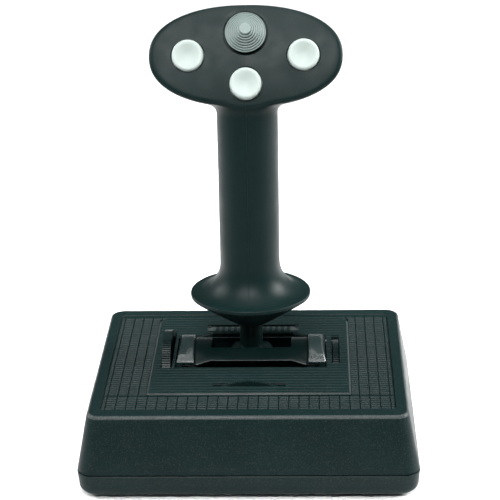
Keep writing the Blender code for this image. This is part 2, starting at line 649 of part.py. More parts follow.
def cut_openings(body):
    cut(body, rod("shaft_hole", (0, GY, 0), "Z", SHAFT_R + 0.15, 50.0, 100.0))
    for across, up in BUTTONS.values():
        cut(body, rod("button_hole", face_point(across, up, 0), "FACE", BUTTON_R + 0.35, -6.0, 6.0, 26))
        cut(body, rod("button_room", face_point(across, up, 0), "FACE", 8.9, -7.0, -2.5, 18))
    well = face_point(0, HAT_V, 0)
    cut(body, rod("well", well, "FACE", HAT_WELL_R, -HAT_WELL_DEPTH, 6.0))
    cut(body, rod("well_hole", well, "FACE", 4.8, -8.0, 2.0, 24))
    cut(body, rod("pin_hole", (0, TRIGGER_Y, TRIGGER_Z), "X", TRIGGER_PIN_R + RUN, -10.0, 10.0))
    cut(body, box("trigger_slot", -TRIGGER_X - 0.5, TRIGGER_X + 0.5, TRIGGER_Y - 4.6, 48.0, 145.0, 173.6))
    for z in GRIP_SCREW_Z:
        cut(body, rod("head_recess", (0, GY, z), "X", 3.3, -20.0, -9.5, 14))
        cut(body, rod("screw_hole", (0, GY, z), "X", 1.7, -12.0, 8.0, 10))


def grip_shells():
    body = grip_body()
    add_bosses(body)
    cut_openings(body)
    for name, side in (("left", -1), ("right", 1)):
        shell = body.copy()
        shell.data = body.data.copy()
        shell.name = "grip_shell_" + name
        bpy.context.collection.objects.link(shell)
        start, end = sorted((-side * 80.0, side * SPLIT))
        cut(shell, box("other_half", start, end, -60.0, 80.0, 40.0, 240.0))
        tidy(shell)
        paint(shell, "grip")
        hinge_at(shell, 0, GY, GZ)
    bpy.data.objects.remove(body)


def grip_screws():
    for name, z in zip(("lower", "upper"), GRIP_SCREW_Z):
        profile = [(2.5, -12.4), (2.9, -12.0), (2.9, -9.8), (1.4, -9.8), (1.4, 6.5), (0.5, 7.6)]
        screw = spin("grip_screw_" + name, profile, (0, GY, z), "X", 10, "steel")
        cut(screw, box("drive", -14.0, -11.4, GY - 0.4, GY + 0.4, z - 1.8, z + 1.8))
        tidy(screw)
        hinge_at(screw, 0, GY, GZ)


def thumb_buttons():
    for name, (across, up) in BUTTONS.items():
        top = BUTTON_PROUD
        foot = [(BUTTON_PLUNGER_R, BUTTON_LOW), (BUTTON_PLUNGER_R, -4.0), (BUTTON_FLANGE_R, -4.0),
                (BUTTON_FLANGE_R, BUTTON_FLANGE_TOP), (BUTTON_R, BUTTON_FLANGE_TOP)]
        cap = [(BUTTON_R, top - 0.9), (BUTTON_R - 0.5, top - 0.2), (BUTTON_R - 1.2, top),
               (BUTTON_R - 2.2, top - 0.3), (BUTTON_R - 4.4, top - 0.9), (1.0, top - 1.1)]
        centre = face_point(across, up, 0)
        button = spin("button_" + name, foot + cap, centre, "FACE", 26, "white")
        tidy(button)
        hinge_at(button, *centre)
        switch = box("button_switch_" + name, -3.0, 3.0, -3.0, 3.0, -BOARD_DEPTH + GAP, -8.2, "inner")
        stand_on_face(switch, centre)


def stand_on_face(obj, centre):
    """Turn a shape built with +Y up the face and +Z out of it onto the face."""
    turn = Matrix((Vector((1, 0, 0)), FACE_UP, FACE_OUT)).transposed().to_4x4()
    obj.matrix_world = Matrix.Translation(Vector(centre) * MM) @ turn


def thumb_board():
    low = -BOARD_DEPTH - BOARD_THICK
    board = box("thumb_switch_board", -33.0, 33.0, 6.5, 44.0, low, -BOARD_DEPTH, "board")
    corners = ((-1, -1), (-1, 1), (1, 1), (1, -1))
    for sx, sy in corners:
        x, y = sx * 33.0, 25.3 + sy * 18.8
        cut(board, box("corner", min(x, x - sx * 11), max(x, x - sx * 11), min(y, y - sy * 7),
                       max(y, y - sy * 7), low - 1, 1 - BOARD_DEPTH))
    tidy(board)
    stand_on_face(board, FACE_ORIGIN)


def hat_profile():
    """Stepped cone from its stem to its flat tip."""
    profile = [(1.4, -9.3), (2.0, -8.6), (2.0, -0.6), (HAT_R - 0.8, 0.1), (HAT_R, 0.1), (HAT_R, 1.5)]
    low, high = 1.5, HAT_HEIGHT
    for ring in range(1, HAT_RINGS + 1):
        share = ring / HAT_RINGS
        radius = HAT_R - (HAT_R - HAT_TIP_R) * share
        rise = low + (high - low) * share ** 1.35
        previous = low + (high - low) * ((ring - 1) / HAT_RINGS) ** 1.35
        profile += [(radius + 0.25, previous + 0.08), (radius, rise)]
    return profile


def hat_switch():
    centre = face_point(0, HAT_V, 0)
    pivot = face_point(0, HAT_V, HAT_PIVOT)
    hat = spin("hat_cap", hat_profile(), centre, "FACE", 24, "hat")
    tidy(hat)
    hinge_at(hat, *pivot)
    ring = rod("hat_rocker", pivot, "FACE", 4.2, -0.7, 0.7, 20, "inner")
    cut(ring, rod("bore", pivot, "FACE", 2.6, -3.0, 3.0, 16))
    tidy(ring)
    hinge_at(ring, *pivot)
    cup = rod("hat_switch_base", centre, "FACE", 6.6, -BOARD_DEPTH + GAP, -3.9, 20, "inner")
    cut(cup, rod("room", centre, "FACE", 4.7, -9.6, 0.0, 20))
    cut(cup, rod("vent", centre, "FACE", 3.2, -12.0, -5.0, 14))
    tidy(cup)


def trigger():
    """Curved lever with its pivot at the top, and the microswitch that it pulls against."""
    back = [(2.6, 3.0), (7.5, 2.0), (11.5, -1.5), (12.6, -7.0), (11.6, -12.5), (12.4, -18.0), (14.6, -22.0)]
    front = [(11.0, -23.0), (4.0, -21.5), (0.6, -19.0), (-1.6, -13.0), (-2.6, -3.0), (-2.6, 1.0), (-0.6, 3.0)]
    outline = [(TRIGGER_Y + y, TRIGGER_Z + z) for y, z in back + front]
    lever = prism("trigger", outline, "X", -TRIGGER_X, TRIGGER_X, "grip")
    centre = (0, TRIGGER_Y, TRIGGER_Z)
    cut(lever, rod("bore", centre, "X", TRIGGER_PIN_R + RUN, -8.0, 8.0))
    tidy(lever)
    hinge_at(lever, *centre)
    pin = rod("trigger_pin", centre, "X", TRIGGER_PIN_R, -9.6, 9.6, 24, "steel")
    tidy(pin)
    box("trigger_switch", -3.2, 3.2, TRIGGER_Y - 11.0, TRIGGER_Y - 5.2, 150.0, 159.0, "inner")


def main():
    for obj in list(bpy.data.objects):
        bpy.data.objects.remove(obj)
    base_top_cover()
    base_tray()
    rubber_feet()
    base_screws()
    cable_inlet()
    main_board()
    cradle()
    stick_shaft()
    roll_yoke()
    bearings()
    gimbal_hoods()
    throttle_wheel()
    trim_wheels()
    sensors()
    saddles()
    springs()
    grip_shells()
    grip_screws()
    thumb_buttons()
    thumb_board()
    hat_switch()
    trigger()


main()
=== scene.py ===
"""Looks of the desktop flight joystick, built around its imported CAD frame.

Shapes are worked out in millimetres in the frame's own axes (+X the user's right, +Y away from the
user, +Z up) and turned into metres by solid().
"""
import json
import math

import bmesh
import bpy
import numpy as np
from mathutils import Matrix, Vector


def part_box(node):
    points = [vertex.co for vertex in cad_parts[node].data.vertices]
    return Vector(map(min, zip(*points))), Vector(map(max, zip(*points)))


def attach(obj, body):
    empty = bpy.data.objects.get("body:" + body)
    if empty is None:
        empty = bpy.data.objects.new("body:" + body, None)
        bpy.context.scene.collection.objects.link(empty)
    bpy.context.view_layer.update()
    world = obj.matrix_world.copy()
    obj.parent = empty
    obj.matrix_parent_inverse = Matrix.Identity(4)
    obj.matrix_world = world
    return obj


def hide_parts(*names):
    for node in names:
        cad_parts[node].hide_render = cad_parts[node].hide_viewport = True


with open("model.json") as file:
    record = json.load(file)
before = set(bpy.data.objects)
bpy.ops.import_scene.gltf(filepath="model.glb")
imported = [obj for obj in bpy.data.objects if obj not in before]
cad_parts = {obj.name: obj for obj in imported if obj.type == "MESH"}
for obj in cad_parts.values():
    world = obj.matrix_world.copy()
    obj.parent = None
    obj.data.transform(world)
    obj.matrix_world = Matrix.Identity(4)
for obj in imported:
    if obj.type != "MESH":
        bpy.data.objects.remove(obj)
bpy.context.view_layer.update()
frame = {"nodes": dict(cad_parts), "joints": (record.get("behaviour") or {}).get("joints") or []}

MM = 0.001


# ------------------------ places taken from the frame

def joint(name):
    return next(j for j in frame["joints"] if j["name"] == name)


def place_of(joint_name):
    return Vector(joint(joint_name)["pos_m"]) / MM


def box_mm(node):
    low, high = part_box(node)
    return Vector(low) / MM, Vector(high) / MM


GY, GZ = place_of("stick_pitch").y, place_of("stick_pitch").z
TRAY_LOW, TRAY_HIGH = box_mm("base_tray")
BASE_X, BASE_Y = TRAY_HIGH.x, TRAY_HIGH.y  # half width and half depth at the seam
SEAM_LOW, SEAM_HIGH = 12.6, 13.0  # rim of the tray and lower edge of the cover
PANEL_Z = box_mm("base_top_cover")[1].z
TOP_Z = PANEL_Z - 0.8
HOOD_LOW, HOOD_HIGH = box_mm("gimbal_hood_right")
THROTTLE_LOW, THROTTLE_HIGH = box_mm("throttle_wheel")
TRIM_LOW, TRIM_HIGH = box_mm("pitch_trim_wheel")
ROLL_LOW, ROLL_HIGH = box_mm("roll_trim_wheel")

FACE_OUT = -Vector(joint("button_left_press")["axis"]).normalized()
FACE_UP = Vector((0.0, FACE_OUT.z, -FACE_OUT.y))
FACE_ORIGIN = Vector((0.0, -9.0, 177.0))  # on the thumb face's plane, just under its lower edge

# ------------------------ driving sizes

RUNNING_GAP = 0.06  # clearance on the radius of every pivot
BASE_R = 9.0
CORNER_CLOSE = 0.5  # share of the inset that a corner radius shrinks by
DRAFT = 5.6  # how far the cover's sides lean in, seam to top
WALL = 2.4
CEILING_Z = 39.6  # underside of the cover's top
EDGE_R = 1.8
MARGIN_X, MARGIN_FRONT, MARGIN_BACK = 71.2, 59.6, 60.0
DECK_GAP, CHANNEL_DEPTH = 1.0, 0.4  # shallow channel round the deck
DECK_Z = TOP_Z - 0.15
COLUMN_PITCH, RIB_PITCH = 4.9, 2.45
COLUMN_DEPTH, RIB_DEPTH = 0.7, 0.40
RIB_LEAD, LINE_LEAD = 0.25, 2.4  # from a front edge to its first rib or line
PANEL_X, PANEL_FRONT, PANEL_BACK, PANEL_CHAMFER = 50.0, -43.0, 54.0, 5.0
PANEL_GAP = 0.12
PANEL_PITCH, PANEL_BEVEL, FRONT_BEVEL, LINE_DEPTH = 3.2, 1.15, 0.68, 0.22
LABEL_X, LABEL_FRONT, LABEL_BACK, LABEL_DEPTH = 24.0, 34.5, 43.5, 0.8
THROUGH_LOW, THROUGH_HIGH = 30, 50  # heights of a cutter that goes right through the top
OPEN_X, OPEN_FRONT, OPEN_BACK = 38.2, -12.0, 29.2
NOTCH_X, NOTCH_WIDE_X, NOTCH_BACK = 21.0, 27.4, 33.6

CRADLE_R, CRADLE_SKIN = 22.5, 2.5
CRADLE_X, LIP_X, WAIST_X, WIDE_X = 28.4, 36.0, 20.5, 27.5
WAIST_DEG, WIDE_DEG = 39.0, 45.0
SLOT_X, SLOT_Y = 20.3, 6.4
HOOD_R, HOOD_SKIN, HOOD_Y, HOOD_CREST_X = 23.9, 1.1, 16.2, 35.7
HOOD_FOOT_Z, HOOD_FRONT_Z, HOOD_EDGE_Z = 31.0, 41.2, 42.4
JOURNAL_R, STUB_R = 5.0, 3.0
THROTTLE_R = 26.6
THROTTLE_SMOOTH, THROTTLE_REACH = 12.0, 84.0  # ends of its smooth and its toothed stretch, in degrees
SHAFT_R = 5.85
SHOULDER_X, SHOULDER_Y = 10.5, 5.9
PIN_R = 2.0

# Stem: half width, half depth, squareness and top. Hand rest: radius and the heights of its parts.
STEM_A, STEM_B, STEM_POWER, STEM_TOP = 15.0, 16.5, 2.3, 188.0
FLANGE_R, FLANGE_LOW, RIM_LOW, RIM_HIGH, FLARE_TOP = 30.3, 57.5, 73.0, 75.0, 91.0
# Head: half width, reach above and below its widest line, that line's height on the face, squareness
# above and below it, and the radius of the face's crown; then depth, straight part, edge and dome.
HEAD_A, HEAD_UP, HEAD_DOWN, HEAD_V = 47.3, 25.9, 24.8, 25.6
UP_POWER, DOWN_POWER, CROWN_R = 2.2, 2.3, 150.0
HEAD_DEPTH, HEAD_FLAT, HEAD_EDGE, HEAD_POWER = 31.0, 7.0, 2.4, 2.4
HEAD_DRAFT = 0.006  # share of the outline lost with each mm behind the face
NECK_FILLET = 5.4
HEAD_MIDDLE = Vector((0.0, 14.0, 197.0))
LEAN_LOW, NECK_LOW, NECK_HIGH = 160.0, 165.0, 191.0
SEAM_HALF, SEAM_WIDTH, SEAM_DEPTH = 0.01, 0.28, 0.08
SEAM_STEPS = (-2.0, -1.3, -0.75, -0.3, 0.0, 0.3, 0.75, 1.3, 2.0)  # degrees either side of the seam

GLINT_SPECK_MM = 0.55  # size of the bright specks painted into moulded plastic as glints off its grain
EDGE_HIGHLIGHT_TONE = 0.045  # how much lighter the plastic is painted along edges, a painted highlight
COVER_EDGE = (TOP_Z - 1.75, TOP_Z - 0.15)  # heights between which the cover's top edge gets a painted highlight
# heights of the panel's bevelled edge, where a highlight is painted
PANEL_EDGE = (PANEL_Z - 1.00, PANEL_Z - 0.24)

BUTTON_R, BUTTON_PROUD = 7.6, 2.5
BUTTONS = {"left": (-27.8, 25.3), "right": (27.8, 25.3), "lower": (0.0, 11.4)}
HAT_V, HAT_R, HAT_TIP_R, HAT_HEIGHT, HAT_RINGS = 36.4, 9.8, 2.7, 9.0, 7
HAT_WELL_R, HAT_WELL_DEPTH = 10.9, 2.4
TRIGGER_PIVOT = place_of("trigger_pull")
TRIGGER_X, PIN_TRIGGER_R = 5.2, 1.5
GRIP_SCREW_Z = (104.0, 138.0)


# ------------------------ mesh tools

def sheet(name, verts, faces):
    """A mesh object from points in millimetres."""
    mesh = bpy.data.meshes.new(name)
    points = np.asarray([tuple(v) for v in verts]) * MM
    mesh.from_pydata(points.tolist(), [], faces)
    obj = bpy.data.objects.new(name, mesh)
    bpy.context.scene.collection.objects.link(obj)
    return obj


def solid(name, verts, faces):
    """A closed mesh object: loose points are dropped and its faces point out."""
    obj = sheet(name, verts, faces)
    shape = bmesh.new()
    shape.from_mesh(obj.data)
    bmesh.ops.delete(shape, geom=[v for v in shape.verts if not v.link_faces], context="VERTS")
    bmesh.ops.recalc_face_normals(shape, faces=shape.faces[:])
    shape.to_mesh(obj.data)
    shape.free()
    return obj


def loft(name, rings, tube=False):
    """A skin through rings of equal length; a tube joins its last ring to its first."""
    count = len(rings[0])
    verts = [point for ring in rings for point in ring]
    faces = []
    if not tube:
        faces.append(list(range(count))[::-1])
        faces.append([len(verts) - count + i for i in range(count)])
    spans = len(rings) if tube else len(rings) - 1
    for level in range(spans):
        low, high = level * count, ((level + 1) % len(rings)) * count
        for i in range(count):
            j = (i + 1) % count
            faces.append([low + i, low + j, high + j, high + i])
    return solid(name, verts, faces)


def place(centre, axis, across, other, along):
    """A point given across and along an axis through a centre."""
    if axis == "X":
        step = Vector((along, across, other))
    elif axis == "Y":
        step = Vector((across, along, other))
    elif axis == "FACE":
        step = Vector((across, 0, 0)) + FACE_UP * other + FACE_OUT * along
    else:
        step = Vector((across, other, along))
    return Vector(centre) + step


def spin(name, profile, centre, axis="Z", sides=64):
    """A turned piece; profile holds (radius, distance along the axis)."""
    rings = []
    for radius, along in profile:
        ring = []
        for i in range(sides):
            turn = 2 * math.pi * i / sides
            ring.append(place(centre, axis, radius * math.cos(turn), radius * math.sin(turn), along))
        rings.append(ring)
    return loft(name, rings)


def rod(name, centre, axis, radius, start, end, sides=64):
    return spin(name, [(radius, start), (radius, end)], centre, axis, sides)


def block(name, x0, x1, y0, y1, z0, z1):
    low = [(x0, y0, z0), (x1, y0, z0), (x1, y1, z0), (x0, y1, z0)]
    return loft(name, [low, [(x, y, z1) for x, y, _ in low]])


def prism(name, outline, axis, start, end):
    """A flat outline pushed along an axis: its points are (y, z), (x, z) or (x, y)."""
    rings = []
    for along in (start, end):
        if axis == "X":
            rings.append([(along, a, b) for a, b in outline])
        elif axis == "Y":
            rings.append([(a, along, b) for a, b in outline])
        else:
            rings.append([(a, b, along) for a, b in outline])
    return loft(name, rings)


def arc(radius, start_deg, end_deg, steps, mid=None):
    """Points on a circle, with angles from straight up towards the outline's first axis."""
    across, up = mid if mid else (GY, GZ)
    points = []
    for i in range(steps + 1):
        turn = math.radians(start_deg + (end_deg - start_deg) * i / steps)
        points.append((across + radius * math.sin(turn), up + radius * math.cos(turn)))
    return points


def evaluated(obj):
    """Applies an object's modifiers."""
    bpy.context.view_layer.update()
    result = obj.evaluated_get(bpy.context.evaluated_depsgraph_get())
    mesh = bpy.data.meshes.new_from_object(result)
    obj.modifiers.clear()
    obj.data = mesh


def combine(target, tool, operation):
    step = target.modifiers.new("combine", "BOOLEAN")
    step.operation = operation
    step.solver = "EXACT"
    step.object = tool
    evaluated(target)
    bpy.data.objects.remove(tool)


def cut(target, tool):
    combine(target, tool, "DIFFERENCE")


def unite(target, tool):
    combine(target, tool, "UNION")


def gather(tools):
    """Joins separate, disjoint tools into one, so that one Boolean does for all of them."""
    shape = bmesh.new()
    for tool in tools:
        shape.from_mesh(tool.data)
        bpy.data.objects.remove(tool)
    mesh = bpy.data.meshes.new("tools")
    shape.to_mesh(mesh)
    shape.free()
    obj = bpy.data.objects.new("tools", mesh)
    bpy.context.scene.collection.objects.link(obj)
    return obj


def soften(obj, width, segments=2, angle=30):
    """Rounds an object's hard edges."""
    step = obj.modifiers.new("soften", "BEVEL")
    step.width = width * MM
    step.segments = segments
    step.limit_method = "ANGLE"
    step.angle_limit = math.radians(angle)
    step.harden_normals = False
    evaluated(obj)


def smooth(obj, angle=35):
    shape = bmesh.new()
    shape.from_mesh(obj.data)
    bmesh.ops.remove_doubles(shape, verts=shape.verts[:], dist=0.000004)
    bmesh.ops.dissolve_degenerate(shape, edges=shape.edges[:], dist=0.000002)
    shape.to_mesh(obj.data)
    shape.free()
    obj.data.shade_smooth()
    obj.data.set_sharp_from_angle(angle=math.radians(angle))


def put(obj, body, slot_name, material, *nodes):
    """Dresses a piece and hands it to its body, in place of its CAD nodes."""
    obj.data.materials.clear()
    obj.data.materials.append(material)
    if nodes:
        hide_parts(*nodes)
    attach(obj, body)


# ------------------------ materials

MIX_FIRST, MIX_SECOND, MIX_RESULT = 6, 7, 2      # colour sockets of a Mix node


class Nodes:
    """A short way to write a material's nodes."""

    def __init__(self, name):
        self.material = bpy.data.materials.new(name)
        self.material.use_nodes = True
        self.tree = self.material.node_tree
        self.shader = self.tree.nodes["Principled BSDF"]
        self.place = self.tree.nodes.new("ShaderNodeTexCoord").outputs["Object"]

    def link(self, source, target):
        self.tree.links.new(source, target)

    def noise(self, size_mm, detail=2.0, rough=0.5, stretch=None):
        """Noise whose blobs are about size_mm across."""
        node = self.tree.nodes.new("ShaderNodeTexNoise")
        node.inputs["Scale"].default_value = 1.0 / (size_mm * MM)
        node.inputs["Detail"].default_value = detail
        node.inputs["Roughness"].default_value = rough
        self.link(self.stretched(stretch), node.inputs["Vector"])
        return node.outputs["Fac"]

    def cells(self, size_mm, feature="SMOOTH_F1"):
        node = self.tree.nodes.new("ShaderNodeTexVoronoi")
        node.feature = feature
        node.inputs["Scale"].default_value = 1.0 / (size_mm * MM)
        self.link(self.place, node.inputs["Vector"])
        return node.outputs["Distance"]

    def stretched(self, stretch):
        if not stretch:
            return self.place
        node = self.tree.nodes.new("ShaderNodeMapping")
        node.inputs["Scale"].default_value = stretch
        self.link(self.place, node.inputs["Vector"])
        return node.outputs["Vector"]

    def band(self, low_mm, high_mm, soft_mm=0.15):
        """Patchy stripe between two heights: a painted highlight along edges."""
        split = self.tree.nodes.new("ShaderNodeSeparateXYZ")
        self.link(self.place, split.inputs["Vector"])
        height = split.outputs["Z"]
        rise = self.ramp(height, low_mm * MM, (low_mm + soft_mm) * MM, 0.0, 1.0)
        fall = self.ramp(height, (high_mm - soft_mm) * MM, high_mm * MM, 1.0, 0.0)
        patches = self.ramp(self.noise(GLINT_SPECK_MM, 2.0), 0.35, 0.6, 0.45, 1.0)
        return self.times(self.times(rise, fall), patches)

    def times(self, first, second):
        node = self.tree.nodes.new("ShaderNodeMath")
        node.operation = "MULTIPLY"
        self.link(first, node.inputs[0])
        self.link(second, node.inputs[1])
        return node.outputs["Value"]

    def ramp(self, value, low, high, out_low, out_high):
        node = self.tree.nodes.new("ShaderNodeMapRange")
        node.interpolation_type = "SMOOTHSTEP"
        numbers = {"From Min": low, "From Max": high, "To Min": out_low, "To Max": out_high}
        for socket, number in numbers.items():
            node.inputs[socket].default_value = number
        self.link(value, node.inputs["Value"])
        return node.outputs["Result"]

    def blend(self, factor, first, second):
        """A colour between two; each is a colour or a socket."""
        node = self.tree.nodes.new("ShaderNodeMix")
        node.data_type = "RGBA"
        self.link(factor, node.inputs["Factor"])
        for index, colour in ((MIX_FIRST, first), (MIX_SECOND, second)):
            if isinstance(colour, tuple):
                node.inputs[index].default_value = (*colour, 1.0)
            else:
                self.link(colour, node.inputs[index])
        return node.outputs[MIX_RESULT]

    def bump(self, height, depth_mm, strength=1.0, under=None):
        node = self.tree.nodes.new("ShaderNodeBump")
        node.inputs["Strength"].default_value = strength
        node.inputs["Distance"].default_value = depth_mm * MM
        self.link(height, node.inputs["Height"])
        if under is not None:
            self.link(under, node.inputs["Normal"])
        return node.outputs["Normal"]

    def finish(self, colour, roughness, normal=None, **constants):
        for socket, value in (("Base Color", colour), ("Roughness", roughness), ("Normal", normal)):
            if value is not None:
                self.link(value, self.shader.inputs[socket])
        for socket, value in constants.items():
            self.shader.inputs[socket.replace("_", " ")].default_value = value
        return self.material


def scaled(colour, amount):
    return tuple(channel * amount for channel in colour)


def moulded(name, colour, roughness, grain_mm, grain_depth, specular=0.5, mottle=0.10, painted_glint=0.003,
            painted_highlight_band=None):
    """Moulded plastic: colour drift, uneven gloss, bright specks painted in as glints off the grain, a
    spark-eroded grain and a painted highlight along edges.
    """
    n = Nodes(name)
    drift = n.ramp(n.noise(26.0, 3.0), 0.3, 0.7, 0.0, 1.0)
    # bright specks painted into the colour as glints off the grain
    glint_speck = n.ramp(n.noise(GLINT_SPECK_MM, 1.0), 0.52, 0.70, 0.0, 1.0)
    tone = n.blend(drift, scaled(colour, 1.0 - mottle), scaled(colour, 1.0 + mottle))
    tone = n.blend(glint_speck, tone, tuple(channel + painted_glint for channel in colour))
    # a lighter stripe painted along edges: a painted highlight
    if painted_highlight_band:
        tone = n.blend(n.band(*painted_highlight_band), tone, tuple(channel + EDGE_HIGHLIGHT_TONE for channel in colour))
    gloss = n.ramp(n.noise(9.0, 4.0), 0.25, 0.75, roughness - 0.05, roughness + 0.06)
    fine = n.bump(n.noise(grain_mm, 2.0, 0.6), grain_depth, 0.9)
    normal = n.bump(n.cells(grain_mm * 1.8), grain_depth * 1.5, 0.5, fine)
    return n.finish(tone, gloss, normal, Specular_IOR_Level=specular)


def metal(name, colour, roughness, brushed=(1, 1, 14)):
    """Plated or pressed metal: brushing, stains and small dents."""
    n = Nodes(name)
    brush = n.noise(1.6, 3.0, 0.6, brushed)
    stain = n.ramp(n.noise(4.0, 3.0), 0.35, 0.7, 0.0, 1.0)
    tone = n.blend(stain, colour, scaled(colour, 0.72))
    gloss = n.ramp(brush, 0.3, 0.7, roughness - 0.08, roughness + 0.12)
    return n.finish(tone, gloss, n.bump(brush, 0.02, 0.5), Metallic=1.0)


def circuit(name):
    """Solder mask with copper tracks showing through it."""
    n = Nodes(name)
    tracks = n.ramp(n.cells(3.0, "DISTANCE_TO_EDGE"), 0.04, 0.07, 1.0, 0.0)
    tone = n.blend(tracks, (0.02, 0.11, 0.05), (0.05, 0.24, 0.10))
    gloss = n.ramp(n.noise(5.0), 0.3, 0.7, 0.28, 0.42)
    return n.finish(tone, gloss, n.bump(tracks, 0.04, 0.6))


def white_floor():
    n = Nodes("floor_paper")
    tone = n.blend(n.noise(60.0, 2.0), (0.90, 0.90, 0.90), (0.93, 0.93, 0.93))
    gloss = n.ramp(n.noise(20.0), 0.3, 0.7, 0.85, 0.95)
    return n.finish(tone, gloss, None, Specular_IOR_Level=0.1)


# After the name come the colour, the roughness, and the grain's size and depth in millimetres.
# The last settings give how bright the painted glint specks are and the heights of a painted highlight along
# edges.
FINISH = {
    "grip": moulded("grip_finish", (0.0018, 0.0100, 0.0094), 0.44, 0.30, 0.008, specular=0.12),
    "base": moulded("base_finish", (0.0014, 0.0095, 0.0092), 0.40, 0.80, 0.055, specular=0.14,
                    painted_glint=0.012, painted_highlight_band=COVER_EDGE),
    "deck": moulded("deck_finish", (0.0016, 0.0095, 0.0092), 0.42, 0.50, 0.035, specular=0.115,
                    painted_glint=0.010, painted_highlight_band=PANEL_EDGE),
    "roller": moulded("roller_finish", (0.0012, 0.0060, 0.0057), 0.32, 0.30, 0.006, specular=0.12),
    "hood": moulded("hood_finish", (0.0060, 0.0150, 0.0150), 0.30, 0.70, 0.080, specular=0.60),
    "wheel": moulded("wheel_finish", (0.0030, 0.0100, 0.0097), 0.36, 0.30, 0.008, specular=0.2),
    "white": moulded("button_finish", (0.36, 0.415, 0.392), 0.42, 0.60, 0.003, specular=0.20,
                     mottle=0.015, painted_glint=0.006),
    "hat": moulded("hat_finish", (0.190, 0.240, 0.229), 0.50, 0.30, 0.006, specular=0.25,
                   mottle=0.04, painted_glint=0.006),
    "inner": moulded("inner_finish", (0.085, 0.092, 0.092), 0.55, 0.40, 0.010),
    "rubber": moulded("rubber_finish", (0.014, 0.014, 0.014), 0.82, 0.25, 0.020, specular=0.3),
    "steel": metal("steel_finish", (0.56, 0.57, 0.58), 0.28),
    "can": metal("can_finish", (0.44, 0.45, 0.46), 0.38, (14, 1, 1)),
    "board": circuit("board_finish"),
}


# ------------------------ base

def rounded(half_x, half_y, radius, z, steps=10):
    """A rounded rectangle at one height."""
    ring = []
    for quarter in range(4):
        sx, sy = (1, -1, -1, 1)[quarter], (1, 1, -1, -1)[quarter]
        for step in range(steps + 1):
            turn = math.pi / 2 * (quarter + step / steps)
            ring.append((sx * (half_x - radius) + radius * math.cos(turn),
                         sy * (half_y - radius) + radius * math.sin(turn), z))
    return ring


def cover_ring(z, extra=0.0):
    inset = DRAFT * (z - SEAM_LOW) / (TOP_Z - SEAM_LOW) + extra
    return rounded(BASE_X - inset, BASE_Y - inset, BASE_R - CORNER_CLOSE * inset, z)


def cover_shell():
    """Sides and flat margin of the cover, with a ledge inside the margin for the deck."""
    rings = [cover_ring(SEAM_HIGH + 0.4), cover_ring(TOP_Z - EDGE_R)]
    for step in range(1, 9):
        turn = math.pi / 2 * step / 8
        rings.append(cover_ring(TOP_Z - EDGE_R * (1 - math.sin(turn)), EDGE_R * (1 - math.cos(turn))))
    middle = (MARGIN_FRONT + MARGIN_BACK) / 2
    for z, extra in ((TOP_Z, 0.0), (TOP_Z - 0.18, 0.18), (CEILING_Z, 0.25)):
        rings.append(rounded(MARGIN_X - extra, middle - extra, 2.2, z))
    rings += [rounded(MARGIN_X + 1.0, middle + 1.0, 2.6, CEILING_Z), cover_ring(SEAM_HIGH, WALL),
              cover_ring(SEAM_HIGH, 0.35)]
    shell = loft("cover_shell", rings, tube=True)
    inlet = box_mm("cable_inlet_bush")
    centre = (inlet[0] + inlet[1]) / 2
    cut(shell, rod("inlet", (centre.x, 0, centre.z), "Y", 5.3, 58.0, 80.0, 48))
    smooth(shell, 40)
    put(shell, "base", "base_plastic", FINISH["base"], "base_top_cover")


def plate(name, xs, ys, height, low, keep=None):
    """A plate over a grid of lines: its top follows height(x, y), its underside is flat at low."""
    verts, faces = [], []
    columns, rows = len(xs), len(ys)
    for top in (True, False):
        for y in ys:
            for x in xs:
                verts.append((x, y, height(x, y) if top else low))
    under = columns * rows

    def kept(i, j):
        if not (0 <= i < columns - 1 and 0 <= j < rows - 1):
            return False
        return keep is None or keep((xs[i] + xs[i + 1]) / 2, (ys[j] + ys[j + 1]) / 2)

    for j in range(rows - 1):
        for i in range(columns - 1):
            if not kept(i, j):
                continue
            a, b = j * columns + i, j * columns + i + 1
            c, d = b + columns, a + columns
            faces.append([a, b, c, d])
            faces.append([under + d, under + c, under + b, under + a])
            for edge, open_side in (((a, b), (i, j - 1)), ((b, c), (i + 1, j)),
                                    ((c, d), (i, j + 1)), ((d, a), (i - 1, j))):
                if not kept(*open_side):
                    p, q = edge
                    faces.append([q, p, under + p, under + q])
    return solid(name, verts, faces)


